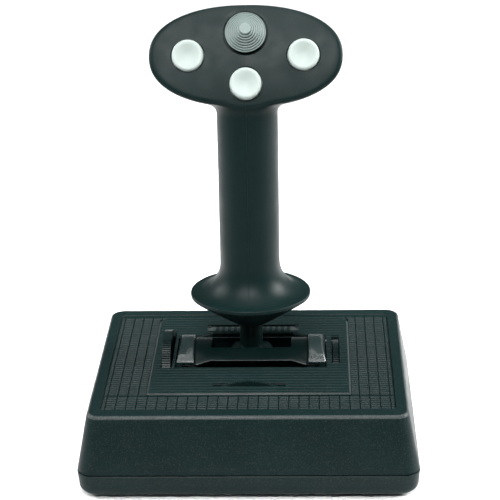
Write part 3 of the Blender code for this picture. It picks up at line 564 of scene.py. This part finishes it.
def deck():
    """Grid-textured field between the margin and the raised panel: columns of fine cross ribs."""
    edge_x, edge_front, edge_back = MARGIN_X - 0.4, 0.4 - MARGIN_FRONT, MARGIN_BACK - 0.4
    half_x, front, back = MARGIN_X - DECK_GAP, DECK_GAP - MARGIN_FRONT, MARGIN_BACK - DECK_GAP
    hole_x, hole_front, hole_back = PANEL_X + PANEL_GAP, PANEL_FRONT - 4 * PANEL_GAP, PANEL_BACK + PANEL_GAP
    count = int(half_x // COLUMN_PITCH)
    xs = {-edge_x, edge_x, -half_x - 0.15, half_x + 0.15, -half_x, half_x, -hole_x, hole_x}
    for k in range(-count, count + 1):
        xs.update(k * COLUMN_PITCH + step for step in (-0.30, -0.2, 0.2, 0.30))
    ys = {edge_front, edge_back, front - 0.15, back + 0.15, front, back, hole_front, hole_back}
    ribs = int((back - front) // RIB_PITCH)
    for k in range(ribs):
        start = front + RIB_LEAD + k * RIB_PITCH
        ys.update(start + step for step in (0.0, 0.35, 1.0, 1.35))
    xs = sorted(x for x in xs if abs(x) <= edge_x)
    ys = sorted(y for y in ys if edge_front <= y <= edge_back)

    def height(x, y):
        if abs(x) > half_x + 0.1 or y < front - 0.1 or y > back + 0.1:
            return DECK_Z - CHANNEL_DEPTH
        nearest = abs(x - round(x / COLUMN_PITCH) * COLUMN_PITCH)
        along = (y - front - RIB_LEAD) % RIB_PITCH
        rib = 0.0 if 0.2 < along < 1.2 else RIB_DEPTH
        return DECK_Z - (COLUMN_DEPTH if nearest < 0.25 else rib)

    def keep(x, y):
        return not (abs(x) < hole_x and hole_front < y < hole_back)

    field = plate("cover_deck", xs, ys, height, CEILING_Z + 0.6, keep)
    smooth(field, 30)
    put(field, "base", "base_plastic", FINISH["deck"])


def panel():
    """Raised panel round the gimbal: bevelled front, cross lines, three slots and the opening."""
    ys = {PANEL_FRONT, PANEL_FRONT + FRONT_BEVEL, PANEL_BACK, PANEL_BACK - PANEL_BEVEL}
    lines = int((PANEL_BACK - PANEL_FRONT - 3) // PANEL_PITCH)
    for k in range(lines + 1):
        start = PANEL_FRONT + LINE_LEAD + k * PANEL_PITCH
        ys.update(start + step for step in (0.0, 0.25, 0.75, 1.0))
    xs = [-PANEL_X, PANEL_BEVEL - PANEL_X, PANEL_X - PANEL_BEVEL, PANEL_X]

    def height(x, y):
        if abs(x) > PANEL_X - 0.5 or y < PANEL_FRONT + 0.5 or y > PANEL_BACK - 0.5:
            return PANEL_Z - PANEL_BEVEL
        along = (y - PANEL_FRONT - LINE_LEAD) % PANEL_PITCH
        return PANEL_Z - (LINE_DEPTH if 0.1 < along < 0.9 and y > PANEL_FRONT + 2.0 else 0.0)

    top = plate("cover_panel", xs, sorted(ys), height, CEILING_Z)
    through = (THROUGH_LOW, THROUGH_HIGH)
    tools = []
    for side in (-1, 1):
        outer, inner = side * (PANEL_X + 1), side * (PANEL_X - PANEL_CHAMFER - 1)
        corner = [(outer, PANEL_BACK + 1), (inner, PANEL_BACK + 1), (outer, PANEL_BACK - PANEL_CHAMFER - 1)]
        tools.append(prism("corner", corner, "Z", *through))
    opening = [(-OPEN_X, OPEN_FRONT), (OPEN_X, OPEN_FRONT), (OPEN_X, OPEN_BACK),
               (NOTCH_WIDE_X, OPEN_BACK), (NOTCH_X, NOTCH_BACK), (-NOTCH_X, NOTCH_BACK),
               (-NOTCH_WIDE_X, OPEN_BACK), (-OPEN_X, OPEN_BACK)]
    tools.append(prism("opening", opening, "Z", *through))
    tools.append(block("throttle_slot", THROTTLE_HIGH.x - 4.6, THROTTLE_HIGH.x + 1.0, -12.0, 35.4, *through))
    tools.append(block("pitch_slot", TRIM_LOW.x - 0.5, TRIM_HIGH.x + 0.5, -7.0, 28.6, *through))
    tools.append(block("roll_slot", -17.9, 17.9, ROLL_LOW.y - 0.5, ROLL_HIGH.y + 0.5, *through))
    tools.append(block("label", -LABEL_X, LABEL_X, LABEL_FRONT, LABEL_BACK, PANEL_Z - LABEL_DEPTH,
                       THROUGH_HIGH))
    cut(top, gather(tools))
    smooth(top, 30)
    put(top, "base", "base_plastic", FINISH["deck"])


def label_ribs():
    """A blank name plate: plain bars between two rails, with a round stud in each back corner."""
    pitch, half_bar, half_rail, rail_x = 3.1, 0.9, 0.25, LABEL_X - 0.1
    z = PANEL_Z - LABEL_DEPTH
    low = z - 0.1
    front, back = LABEL_FRONT + 2.0, LABEL_BACK - 2.2
    bars = []
    for k in range(-6, 7):
        bars.append(block("bar", k * pitch - half_bar, k * pitch + half_bar, front, back, low, z + 0.7))
    for along in (LABEL_FRONT + 0.3, LABEL_BACK - 0.3):
        bars.append(block("rail", -rail_x, rail_x, along - half_rail, along + half_rail, low, z + 1.1))
    for side in (-1, 1):
        stud = [(0.75, -0.1), (0.75, 0.4), (0.55, 0.68), (0.25, 0.8)]
        bars.append(spin("stud", stud, (side * (LABEL_X - 1.2), LABEL_BACK - 1.3, z), "Z", 16))
    plate_piece = gather(bars)
    plate_piece.name = "name_plate_bars"
    soften(plate_piece, 0.15, 2)
    smooth(plate_piece)
    put(plate_piece, "base", "base_plastic", FINISH["wheel"])


def tray():
    """Shallow tray under the seam, with rounded lower edges and holes for screws and feet."""
    def ring(z, inset_x, inset_y, radius):
        return rounded(BASE_X - inset_x, BASE_Y - inset_y, radius, z)

    low, top = TRAY_LOW.z, SEAM_LOW
    under_x, under_y, under_r = 4.4, 2.6, BASE_R - 2
    rings = [ring(low, under_x, under_y, under_r)]
    for step in range(1, 7):
        share = step / 6
        turn = math.pi / 2 * share
        inset_x, inset_y = under_x - 3.8 * math.sin(turn), under_y - 2.2 * math.sin(turn)
        rings.append(ring(low + 4.2 * (1 - math.cos(turn)), inset_x, inset_y, under_r + 2 * share))
    rings += [ring(top - 0.3, 0.02, 0.02, BASE_R), ring(top, 0.32, 0.32, BASE_R),
              ring(top, 2.4, 2.4, BASE_R - 1.6), ring(low + 2.3, 4.6, 3.8, BASE_R - 2.4)]
    dish = loft("base_dish", rings)
    tools = []
    for name in ("front_left", "front_right", "back_left", "back_right"):
        screw, foot = box_mm("base_screw_" + name), box_mm("foot_" + name)
        middle = (screw[0] + screw[1]) / 2
        tools.append(spin("recess", [(3.5, 0.0), (3.4, 5.0)], (middle.x, middle.y, 0), "Z", 32))
        middle = (foot[0] + foot[1]) / 2
        tools.append(rod("peg", (middle.x, middle.y, 0), "Z", 2.1, 0.0, 8.0, 24))
    cut(dish, gather(tools))
    smooth(dish, 38)
    put(dish, "base", "base_plastic", FINISH["base"], "base_tray")


# ------------------------ gimbal

def cradle():
    """Curved roller with a waist, lips under the hoods, and the slot that the stick leans in."""
    def ring(x, half_deg, radius):
        outer = arc(radius, -half_deg, half_deg, 40)
        inner = arc(CRADLE_R - CRADLE_SKIN, half_deg, -half_deg, 40)
        return [(x, y, z) for y, z in outer + inner]

    lip_r = CRADLE_R - 0.3
    stations = [(LIP_X, WIDE_DEG, lip_r), (CRADLE_X + 0.1, WIDE_DEG, lip_r),
                (CRADLE_X, WIDE_DEG, CRADLE_R - 0.1), (CRADLE_X - 0.2, WIDE_DEG, CRADLE_R),
                (WIDE_X, WIDE_DEG, CRADLE_R), (WAIST_X, WAIST_DEG, CRADLE_R)]
    rings = [ring(-x, deg, radius) for x, deg, radius in stations]
    rings += [ring(x, deg, radius) for x, deg, radius in reversed(stations)]
    frame_piece = loft("cradle_roller", rings)
    cut(frame_piece, block("slot", -SLOT_X, SLOT_X, GY - SLOT_Y, GY + SLOT_Y, GZ + 10, GZ + 30))
    soften(frame_piece, 0.3, 2, 50)
    wall_x, wall_in, wall_out = 26.0, 6.5, 9.5
    end = arc(CRADLE_R - 0.8, -WAIST_DEG, WAIST_DEG, 24) + arc(7.5, 100, 260, 20)
    for side in (-1, 1):
        unite(frame_piece, block("wall", -wall_x, wall_x, GY + side * wall_in, GY + side * wall_out,
                                 GZ - 5.0, GZ + 19.7))
        unite(frame_piece, prism("end", end, "X", side * 25.4, side * (CRADLE_X - 0.15)))
    centre = (0, GY, GZ)
    left = [(4.6, -40.0), (JOURNAL_R, -39.6), (JOURNAL_R, -27.0)]
    right = [(JOURNAL_R, 27.0), (JOURNAL_R, 37.2), (STUB_R, 37.2), (STUB_R, 50.5)]
    unite(frame_piece, gather([spin("left", left, centre, "X"), spin("right", right, centre, "X")]))
    cut(frame_piece, rod("pin_hole", centre, "Y", PIN_R + RUNNING_GAP, -11.0, 11.0))
    smooth(frame_piece, 32)
    put(frame_piece, "cradle", "gloss_black", FINISH["roller"], "cradle")


def stick_shaft():
    """Round bar with the flat-sided shoulder that pivots in the cradle, and the tail below it."""
    outline = [(-SHOULDER_X, GZ - 5.0), (3.5 - SHOULDER_X, GZ - 8.0), (SHOULDER_X - 3.5, GZ - 8.0),
               (SHOULDER_X, GZ - 5.0), (SHOULDER_X, GZ + 17.5), (SHOULDER_X - 2.5, GZ + 20.0),
               (2.5 - SHOULDER_X, GZ + 20.0), (-SHOULDER_X, GZ + 17.5)]
    shaft = prism("shaft_bar", outline, "Y", GY - SHOULDER_Y, GY + SHOULDER_Y)
    soften(shaft, 0.5, 3)
    unite(shaft, rod("bar", (0, GY, 0), "Z", SHAFT_R, GZ + 15, 96.0))
    tail = [(1.6, -17.0), (2.4, -16.2), (2.4, -6.0)]
    unite(shaft, spin("tail", tail, (0, GY, GZ), "Z", 40))
    cut(shaft, rod("pin_hole", (0, GY, GZ), "Y", PIN_R + RUNNING_GAP, -11.0, 11.0))
    smooth(shaft, 32)
    put(shaft, "stick", "gloss_black", FINISH["roller"], "stick_shaft")


def hood_ring(side, x_high, x_low, radius):
    """One arch of a hood; its outer side leans out towards the panel."""
    reach = math.degrees(math.asin(HOOD_Y / HOOD_R))
    ring = []
    for y, z in arc(radius, -reach, reach, 48):
        share = min(max((z - HOOD_EDGE_Z) / (GZ + HOOD_R - HOOD_EDGE_Z), 0.0), 1.0)
        ring.append((side * (x_low + (x_high - x_low) * share), y, z))
    ring += [(side * x_low, GY + HOOD_Y, HOOD_FOOT_Z), (side * x_low, GY - HOOD_Y, HOOD_FOOT_Z)]
    return ring


def hoods():
    """Arched hoods with a slanted outer side over the cradle's ends."""
    inner, outer = HOOD_LOW.x, HOOD_HIGH.x
    for name, side in (("left", -1), ("right", 1)):
        rings = [hood_ring(side, inner, inner, HOOD_R - 0.3),
                 hood_ring(side, inner + 0.3, inner + 0.3, HOOD_R),
                 hood_ring(side, HOOD_CREST_X - 0.35, outer - 0.35, HOOD_R),
                 hood_ring(side, HOOD_CREST_X, outer, HOOD_R - 0.35),
                 hood_ring(side, HOOD_CREST_X - 0.1, outer - 0.1, HOOD_R - 5.0)]
        hood = loft("hood_" + name, rings)
        near, far = side * 25, side * (HOOD_CREST_X - 0.9)
        cut(hood, rod("room", (0, GY, GZ), "X", HOOD_R - HOOD_SKIN, near, far, 96))
        start, end = sorted((near, far))
        cut(hood, block("lip_room", start, end, GY - 20, GY + 20, GZ, HOOD_FRONT_Z))
        smooth(hood, 38)
        put(hood, "base", "hood_plastic", FINISH["hood"], "gimbal_hood_" + name)


def toothed(radius, start_deg, end_deg, pitch, depth, mid):
    """An arc cut with small flat-topped teeth."""
    length = math.radians(end_deg - start_deg) * radius
    count = int(length / pitch)
    points = []
    for k in range(count):
        for share, low in ((0.0, depth), (0.15, depth), (0.32, 0.0), (0.83, 0.0)):
            degrees = start_deg + (end_deg - start_deg) * (k + share) / count
            points += arc(radius - low, degrees, degrees, 1, mid)[:1]
    points += arc(radius - depth, end_deg, end_deg, 1, mid)[:1]
    return points


def throttle_wheel():
    """Sector wheel, toothed but for a smooth stretch at its middle, with a stub that runs outwards."""
    centre, pitch, depth = (GY, GZ), 1.3, 0.75
    outline = toothed(THROTTLE_R, -THROTTLE_REACH, -THROTTLE_SMOOTH, pitch, depth, centre)
    outline += arc(THROTTLE_R, -THROTTLE_SMOOTH, THROTTLE_SMOOTH, 12, centre)
    outline += toothed(THROTTLE_R, THROTTLE_SMOOTH, THROTTLE_REACH, pitch, depth, centre)
    outline += arc(6.0, 100, 260, 24, centre)
    outer = THROTTLE_HIGH.x - 4.2
    wheel = prism("throttle_dial", outline, "X", outer, THROTTLE_HIGH.x)
    unite(wheel, rod("stub", (0, GY, GZ), "X", STUB_R, THROTTLE_LOW.x, outer + 1))
    hollow = arc(THROTTLE_R - 3.2, -78.0, 78.0, 48, centre) + arc(8.0, 78, -78, 24, centre)
    for start, end in ((outer - 1, outer + 0.7), (THROTTLE_HIGH.x - 0.7, THROTTLE_HIGH.x + 1)):
        cut(wheel, prism("hollow", hollow, "X", start, end))
    smooth(wheel, 25)
    put(wheel, "throttle", "base_plastic", FINISH["wheel"], "throttle_wheel")


def trim_wheels():
    """Two fans whose toothed rims are flatter than their reach."""
    crest, rim_r, half_deg = 20.2, 31.0, 38.0 * 0.78
    for name, body, axis in (("pitch", "pitch_trim", "X"), ("roll", "roll_trim", "Y")):
        middle = (GY, GZ) if axis == "X" else (0.0, GZ)
        rim_middle = (middle[0], middle[1] + crest - rim_r)
        outline = toothed(rim_r, -half_deg, half_deg, 1.25, 0.60, rim_middle)
        outline += arc(6.5, 100, 260, 24, middle)
        low, high = (TRIM_LOW.x, TRIM_HIGH.x) if axis == "X" else (ROLL_LOW.y, ROLL_HIGH.y)
        wheel = prism(name + "_trim_dial", outline, axis, low, high)
        start, end = (30, 60) if axis == "X" else (-60, -30)
        cut(wheel, rod("bore", (0, GY, GZ), axis, STUB_R + RUNNING_GAP, start, end))
        smooth(wheel, 25)
        put(wheel, body, "base_plastic", FINISH["wheel"], name + "_trim_wheel")


# ------------------------ grip

def stem_field(points):
    """Signed distance, about, to the stem's endless column."""
    x = np.abs(points[:, 0]) / STEM_A
    y = np.abs(points[:, 1] - GY) / STEM_B
    return ((x ** STEM_POWER + y ** STEM_POWER) ** (1 / STEM_POWER) - 1) * (STEM_A + STEM_B) / 2


def on_face(points):
    """Across, up from the head's widest line, and depth below the slightly crowned face."""
    step = points - np.array(FACE_ORIGIN)
    up = step @ np.array(FACE_UP) - HEAD_V
    return step[:, 0], up, -(step @ np.array(FACE_OUT)) - up ** 2 / (2 * CROWN_R)


def head_shape(points):
    across, up, depth = on_face(points)
    half = np.where(up > 0, HEAD_UP, HEAD_DOWN)
    power = np.where(up > 0, UP_POWER, DOWN_POWER)
    oval = ((np.abs(across) / HEAD_A) ** power + (np.abs(up) / half) ** power) ** (1 / power)
    oval = oval + HEAD_DRAFT * np.maximum(depth, 0.0)
    back = np.maximum((depth - HEAD_FLAT) / (HEAD_DEPTH - HEAD_FLAT), 0.0)
    return (oval ** HEAD_POWER + back ** HEAD_POWER) ** (1 / HEAD_POWER) - 1


def slope(shape, points, step=0.02):
    """Length of a field's gradient."""
    total = 0.0
    for axis in range(3):
        shift = np.zeros(3)
        shift[axis] = step
        total = total + ((shape(points + shift) - shape(points - shift)) / (2 * step)) ** 2
    return np.sqrt(total) + 1e-6


def head_field(points):
    """Signed distance, about, to the head: a domed oval behind a flat face with a rounded edge."""
    side = head_shape(points) / slope(head_shape, points) + HEAD_EDGE
    face = -on_face(points)[2] + HEAD_EDGE
    outside = np.hypot(np.maximum(side, 0), np.maximum(face, 0))
    return np.minimum(np.maximum(side, face), 0) + outside - HEAD_EDGE


def grip_field(points):
    """Stem and head joined by a fillet; the stem never comes through the face."""
    head = head_field(points)
    stem = np.maximum(stem_field(points), points[:, 2] - STEM_TOP)
    near = np.maximum(NECK_FILLET - np.abs(head - stem), 0.0) / NECK_FILLET
    joined = np.minimum(head, stem) - near ** 2 * NECK_FILLET / 4
    return np.maximum(joined, -on_face(points)[2])


def reach(origins, directions, offset):
    """How far along each ray the grip's surface lies, less an offset."""
    low, high = np.zeros(len(origins)), np.full(len(origins), 90.0)
    for _ in range(26):
        middle = (low + high) / 2
        inside = grip_field(origins + directions * middle[:, None]) + offset < 0
        low = np.where(inside, middle, low)
        high = np.where(inside, high, middle)
    return (low + high) / 2


def bearings(count, seam):
    """Directions round the grip: closer at the head's tips, and extra ones either side of the seam."""
    even = 2 * np.pi * (np.arange(count) + 0.5) / count
    turns = list(even - 0.25 * np.sin(2 * even))
    if seam:
        turns = [t for t in turns if abs(math.cos(t)) > 0.045]
        for front in (math.pi / 2, 3 * math.pi / 2):
            turns += [front + math.radians(step) for step in SEAM_STEPS]
    return np.array(sorted(turns))


def superellipse(turns, a, b, power):
    """Radius of a superellipse at each direction."""
    c, s = np.abs(np.cos(turns)) / a, np.abs(np.sin(turns)) / b
    return (c ** power + s ** power) ** (-1 / power)


def flange_rings(turns):
    """Bowl, rim and flare of the hand rest."""
    foot_r = 7.6
    profile = [(foot_r - 1.0, FLANGE_LOW)]
    for k in range(15):
        radius = foot_r + (FLANGE_R - 0.3 - foot_r) * k / 14
        profile.append((radius, FLANGE_LOW + 0.4 + (RIM_LOW - FLANGE_LOW - 0.4) * (k / 14) ** 1.06))
    profile += [(FLANGE_R - 0.05, RIM_LOW + 0.2), (FLANGE_R, RIM_LOW + 0.5), (FLANGE_R, RIM_HIGH - 0.5),
                (FLANGE_R - 0.12, RIM_HIGH - 0.18), (FLANGE_R - 0.4, RIM_HIGH)]
    rings = [(z, np.full(len(turns), radius)) for radius, z in profile]
    steps = 26
    for k in range(1, steps + 1):
        turn = math.pi / 2 * k / steps
        z = RIM_HIGH + (FLARE_TOP - RIM_HIGH) * (1 - math.cos(turn))
        blend = 1 - math.sin(turn)
        a = STEM_A + (FLANGE_R - 0.4 - STEM_A) * blend
        b = STEM_B + (FLANGE_R - 0.4 - STEM_B) * blend
        rings.append((z, superellipse(turns, a, b, 2.0 + (STEM_POWER - 2.0) * (1 - blend))))
    return rings


def grip_skin(name, count, offset, start_z, fine):
    """The grip's whole outer skin, or an inner one at an offset, as one closed mesh.

    fine scales the spacing of its rings.
    """
    seam = offset == 0
    turns = bearings(count, seam)
    flat = np.stack([np.cos(turns), np.sin(turns), np.zeros(len(turns))], axis=1)
    layers = []
    if seam:
        for z, radius in flange_rings(turns):
            layers.append(np.array([0.0, GY, z]) + flat * radius[:, None])
    spans = ((start_z, NECK_LOW, 3.0), (NECK_LOW, NECK_HIGH, 0.4), (NECK_HIGH, HEAD_MIDDLE.z, 0.9))
    for z in [z for low, high, step in spans for z in np.arange(low, high, step * fine)]:
        share = min(max((z - LEAN_LOW) / (HEAD_MIDDLE.z - LEAN_LOW), 0.0), 1.0)
        origin = np.array([0.0, GY + (HEAD_MIDDLE.y - GY) * share, z])
        origins = np.tile(origin, (len(turns), 1))
        layers.append(origins + flat * reach(origins, flat, offset)[:, None])
    origins = np.tile(np.array(HEAD_MIDDLE), (len(turns), 1))
    steps = int(84 / fine)
    for k in range(steps):
        lift = math.pi / 2 * k / steps
        ray = flat * math.cos(lift) + np.array([0.0, 0.0, math.sin(lift)])
        layers.append(origins + ray * reach(origins, ray, offset)[:, None])
    points = np.concatenate(layers)
    if seam:
        points = sink_seam(points, layers)
    rings = np.split(points, len(layers))
    return loft(name, [ring.tolist() for ring in rings])


def sink_seam(points, layers):
    """Draws a shallow groove along the line where the two grip shells meet."""
    heights = [min(layer[0][2], HEAD_MIDDLE.z) for layer in layers]
    axis = np.concatenate([np.tile([0.0, GY, z], (len(layers[0]), 1)) for z in heights])
    inward = axis - points
    inward /= np.linalg.norm(inward, axis=1)[:, None]
    depth = SEAM_DEPTH * np.exp(-(points[:, 0] / SEAM_WIDTH) ** 2)
    depth = np.where(on_face(points)[2] < 1.0, 0.2, 1.0) * depth
    return points + inward * depth[:, None]


def face_place(across, up):
    return FACE_ORIGIN + Vector((across, 0, 0)) + FACE_UP * up


def grip_bosses():
    """Bosses inside the shells for screws, trigger pin and hat well."""
    bosses = [rod("boss", (0, GY, z), "X", 4.0, 1.2 - STEM_A, STEM_A - 1.2, 32) for z in GRIP_SCREW_Z]
    for side in (-1, 1):
        start, end = sorted((side * (TRIGGER_X + 0.8), side * 9.8))
        bosses.append(rod("pin_boss", TRIGGER_PIVOT, "X", 3.2, start, end, 24))
    bosses.append(rod("well_boss", face_place(0, HAT_V), "FACE", 12.6, -3.6, -1.2, 64))
    return gather(bosses)


def grip_cutters():
    """Everything that is cut through the two shells."""
    tools = [rod("shaft_hole", (0, GY, 0), "Z", SHAFT_R + 0.3, 50.0, 100.0)]
    collar_r, hole_r, mouth_r = 8.9, BUTTON_R + 0.35, BUTTON_R + 0.75
    hole = [(collar_r, -7.0), (collar_r, -2.5), (hole_r, -2.5), (hole_r, -0.35), (mouth_r, 0.0),
            (mouth_r, 6.0)]
    for across, up in BUTTONS.values():
        tools.append(spin("button_hole", hole, face_place(across, up), "FACE", 80))
    well = [(4.8, -8.0), (4.8, -HAT_WELL_DEPTH), (HAT_WELL_R, -HAT_WELL_DEPTH), (HAT_WELL_R, -0.3),
            (HAT_WELL_R + 0.3, 0.0), (HAT_WELL_R + 0.3, 6.0)]
    tools.append(spin("well", well, face_place(0, HAT_V), "FACE", 96))
    slot_x, slot_front = TRIGGER_X + 0.5, TRIGGER_PIVOT.y - 4.6
    tools.append(block("trigger_slot", -slot_x, slot_x, slot_front, 48.0, 145.0, 173.6))
    screw = [(3.9, -20.0), (3.9, -14.3), (3.3, -13.6), (3.3, -9.5), (1.7, -9.5), (1.7, 8.0)]
    for z in GRIP_SCREW_Z:
        tools.append(spin("screw_hole", screw, (0, GY, z), "X", 40))
    return gather(tools)


def grip_shells():
    """The two halves of the grip, hollow and cut apart at the seam."""
    body = grip_skin("grip_skin", 250, 0, FLARE_TOP + 2.0, 1.0)
    cut(body, grip_skin("grip_room", 72, WALL, 76.0, 3.5))
    unite(body, grip_bosses())
    cut(body, grip_cutters())
    cut(body, rod("pin_hole", TRIGGER_PIVOT, "X", PIN_TRIGGER_R + RUNNING_GAP, -9.9, 9.9, 32))
    for name, side in (("left", -1), ("right", 1)):
        shell = body.copy()
        shell.data = body.data.copy()
        shell.name = "grip_half_" + name
        bpy.context.scene.collection.objects.link(shell)
        start, end = sorted((-side * 80.0, side * SEAM_HALF))
        cut(shell, block("other_half", start, end, -60.0, 80.0, 40.0, 240.0))
        smooth(shell, 40)
        put(shell, "stick", "grip_plastic", FINISH["grip"], "grip_shell_" + name)
    bpy.data.objects.remove(body)


def round_profile(profile, centre, name, sides=88):
    """A smooth turned piece that stands out of the thumb face."""
    piece = spin(name, profile, centre, "FACE", sides)
    smooth(piece, 40)
    return piece


def thumb_buttons():
    """Round caps with a soft raised rim and a shallow dish for the thumb."""
    top, rim_r, dish_depth = BUTTON_PROUD, 1.1, 1.6
    stem_r, collar_r, collar_top = 2.2, 8.5, -2.8
    dish_r = BUTTON_R - 1.35
    for name, (across, up) in BUTTONS.items():
        profile = [(stem_r, -6.5), (stem_r, -4.0), (collar_r, -4.0), (collar_r, collar_top),
                   (BUTTON_R, collar_top), (BUTTON_R, top - rim_r)]
        for k in range(1, 9):
            turn = math.pi / 2 * k / 8
            profile.append((BUTTON_R - rim_r * (1 - math.cos(turn)), top - rim_r * (1 - math.sin(turn))))
        for k in range(1, 17):
            share = k / 16
            radius = dish_r * (1 - share) + 0.05
            profile.append((radius, top - dish_depth * math.sin(math.pi / 2 * share) ** 1.4))
        cap = round_profile(profile, face_place(across, up), "thumb_cap_" + name)
        put(cap, "button_" + name, "button_plastic", FINISH["white"], "button_" + name)


def hat():
    """Stepped cone: seven rings that hollow inwards up to a flat tip."""
    profile = [(1.4, -9.3), (2.0, -8.6), (2.0, -0.6), (HAT_R - 0.9, -0.1), (HAT_R - 0.2, 0.1), (HAT_R, 0.4),
               (HAT_R, 1.2), (HAT_R - 0.15, 1.5)]
    low = 1.5

    def level(share):
        return low + (HAT_HEIGHT - low) * share ** 1.35

    for ring in range(1, HAT_RINGS + 1):
        share, previous = ring / HAT_RINGS, (ring - 1) / HAT_RINGS
        radius = HAT_R - (HAT_R - HAT_TIP_R) * share
        base, rise = level(previous), level(share)
        profile += [(radius + 0.50, base - 0.08), (radius + 0.44, base - 0.95), (radius - 0.02, base - 0.95),
                    (radius + 0.14, rise - 0.34), (radius + 0.06, rise - 0.12), (radius - 0.12, rise)]
    profile += [(HAT_TIP_R - 0.5, HAT_HEIGHT), (0.05, HAT_HEIGHT - 0.12)]
    cone = round_profile(profile, face_place(0, HAT_V), "hat_cone", 96)
    put(cone, "hat", "hat_plastic", FINISH["hat"], "hat_cap")


def trigger():
    """Curved lever with a finger hollow."""
    y0, z0 = TRIGGER_PIVOT.y, TRIGGER_PIVOT.z
    back = [(2.6, 3.0), (7.5, 2.0), (11.5, -1.5), (12.6, -7.0), (11.6, -12.5), (12.4, -18.0), (14.6, -22.0)]
    front = [(11.0, -23.0), (4.0, -21.5), (0.6, -19.0), (-1.6, -13.0), (-2.6, -3.0), (-2.6, 1.0),
             (-0.6, 3.0)]
    outline = curve_through([(y0 + y, z0 + z) for y, z in back], 8)
    outline += curve_through([(y0 + y, z0 + z) for y, z in front], 4)
    lever = prism("trigger_lever", outline, "X", -TRIGGER_X, TRIGGER_X)
    soften(lever, 1.3, 4, 50)
    cut(lever, rod("bore", TRIGGER_PIVOT, "X", PIN_TRIGGER_R + RUNNING_GAP, -8.0, 8.0, 40))
    smooth(lever, 35)
    put(lever, "trigger", "grip_plastic", FINISH["grip"], "trigger")


def curve_through(points, steps):
    """A Catmull-Rom curve through the points of an outline."""
    result = []
    for k in range(len(points) - 1):
        before = Vector(points[max(k - 1, 0)])
        start, end = Vector(points[k]), Vector(points[k + 1])
        after = Vector(points[min(k + 2, len(points) - 1)])
        for step in range(steps):
            t = step / steps
            square = (2 * before - 5 * start + 4 * end - after) * t ** 2
            cube = (3 * start - before - 3 * end + after) * t ** 3
            result.append(tuple(0.5 * ((2 * start) + (end - before) * t + square + cube)))
    result.append(tuple(points[-1]))
    return result


# ------------------------ pieces kept from the CAD

def dress_cad():
    """Gives the carried-over CAD nodes their finishes."""
    kinds = {
        "inner": ("roll_yoke", "bearing_block_", "yoke_post_", "_saddle", "hat_rocker", "hat_switch_base",
                  "button_switch_", "trigger_switch"),
        "rubber": ("foot_", "cable_inlet_bush"),
        "steel": ("base_screw_", "grip_screw_", "roll_pivot_pin", "trigger_pin", "_spring"),
        "can": ("_sensor",),
        "board": ("main_board", "thumb_switch_board"),
    }
    for name, obj in frame["nodes"].items():
        for kind, marks in kinds.items():
            if any(mark in name for mark in marks):
                obj.data.materials.clear()
                obj.data.materials.append(FINISH[kind])
                break


# ------------------------ stage, light and camera

CAMERA_TARGET = Vector((0.0005, 0.0, 0.1008))
CAMERA_DISTANCE, CAMERA_LENS = 0.9396, 136.3
CAMERA_YAW, CAMERA_LIFT, CAMERA_ROLL = math.radians(2.04), math.radians(20.26), math.radians(-1.08)


def camera():
    """A long lens a little above the joystick and in front of it."""
    data = bpy.data.cameras.new("camera")
    data.lens = CAMERA_LENS
    data.sensor_width = 36.0
    obj = bpy.data.objects.new("camera", data)
    bpy.context.scene.collection.objects.link(obj)
    away = math.cos(CAMERA_LIFT)
    forward = Vector((-math.sin(CAMERA_YAW) * away, math.cos(CAMERA_YAW) * away, -math.sin(CAMERA_LIFT)))
    level = Vector((math.cos(CAMERA_YAW), math.sin(CAMERA_YAW), 0.0))
    upright = level.cross(forward)
    right = level * math.cos(CAMERA_ROLL) + upright * math.sin(CAMERA_ROLL)
    up = right.cross(forward)
    turn = Matrix((right, up, -forward)).transposed().to_4x4()
    obj.matrix_world = Matrix.Translation(CAMERA_TARGET - forward * CAMERA_DISTANCE) @ turn
    bpy.context.scene.camera = obj


def softbox(name, place_m, target_m, size, power, spread_deg):
    data = bpy.data.lights.new(name, "AREA")
    data.shape = "RECTANGLE"
    data.size, data.size_y = size
    data.energy = power
    data.spread = math.radians(spread_deg)
    obj = bpy.data.objects.new(name, data)
    obj.location = place_m
    obj.rotation_euler = (Vector(target_m) - Vector(place_m)).to_track_quat("-Z", "Y").to_euler()
    bpy.context.scene.collection.objects.link(obj)


def studio():
    """A white paper floor, a large light over its far part, two in front and one at each side."""
    half = 6.0 / MM
    corners = [(-half, -half, 0), (half, -half, 0), (half, half, 0), (-half, half, 0)]
    floor = sheet("floor", corners, [[0, 1, 2, 3]])
    floor.data.materials.append(white_floor())
    middle = (0.0, 0.0, 0.12)
    softbox("overhead", (0.0, 1.5, 1.2), (0.0, 1.5, 0.0), (3.4, 3.0), 32.0, 30)
    softbox("front_top", (0.0, -0.48, 1.25), middle, (1.0, 0.4), 0.45, 36)
    softbox("face_light", (-0.1, -0.82, 0.98), (0.0, 0.0, 0.18), (0.7, 0.35), 1.35, 40)
    softbox("left_side", (-1.0, 0.2, 0.62), middle, (0.8, 0.5), 3.6, 90)
    softbox("right_side", (1.0, 0.2, 0.62), middle, (0.8, 0.5), 7.4, 90)
    world = bpy.data.worlds.new("studio")
    world.use_nodes = True
    background = world.node_tree.nodes["Background"]
    background.inputs["Color"].default_value = (0.93, 0.98, 1.0, 1.0)
    background.inputs["Strength"].default_value = 0.14
    bpy.context.scene.world = world
    bpy.context.scene.view_settings.view_transform = "Standard"


def build():
    camera()
    studio()
    cover_shell()
    deck()
    panel()
    label_ribs()
    tray()
    cradle()
    stick_shaft()
    hoods()
    throttle_wheel()
    trim_wheels()
    grip_shells()
    thumb_buttons()
    hat()
    trigger()
    dress_cad()


build()
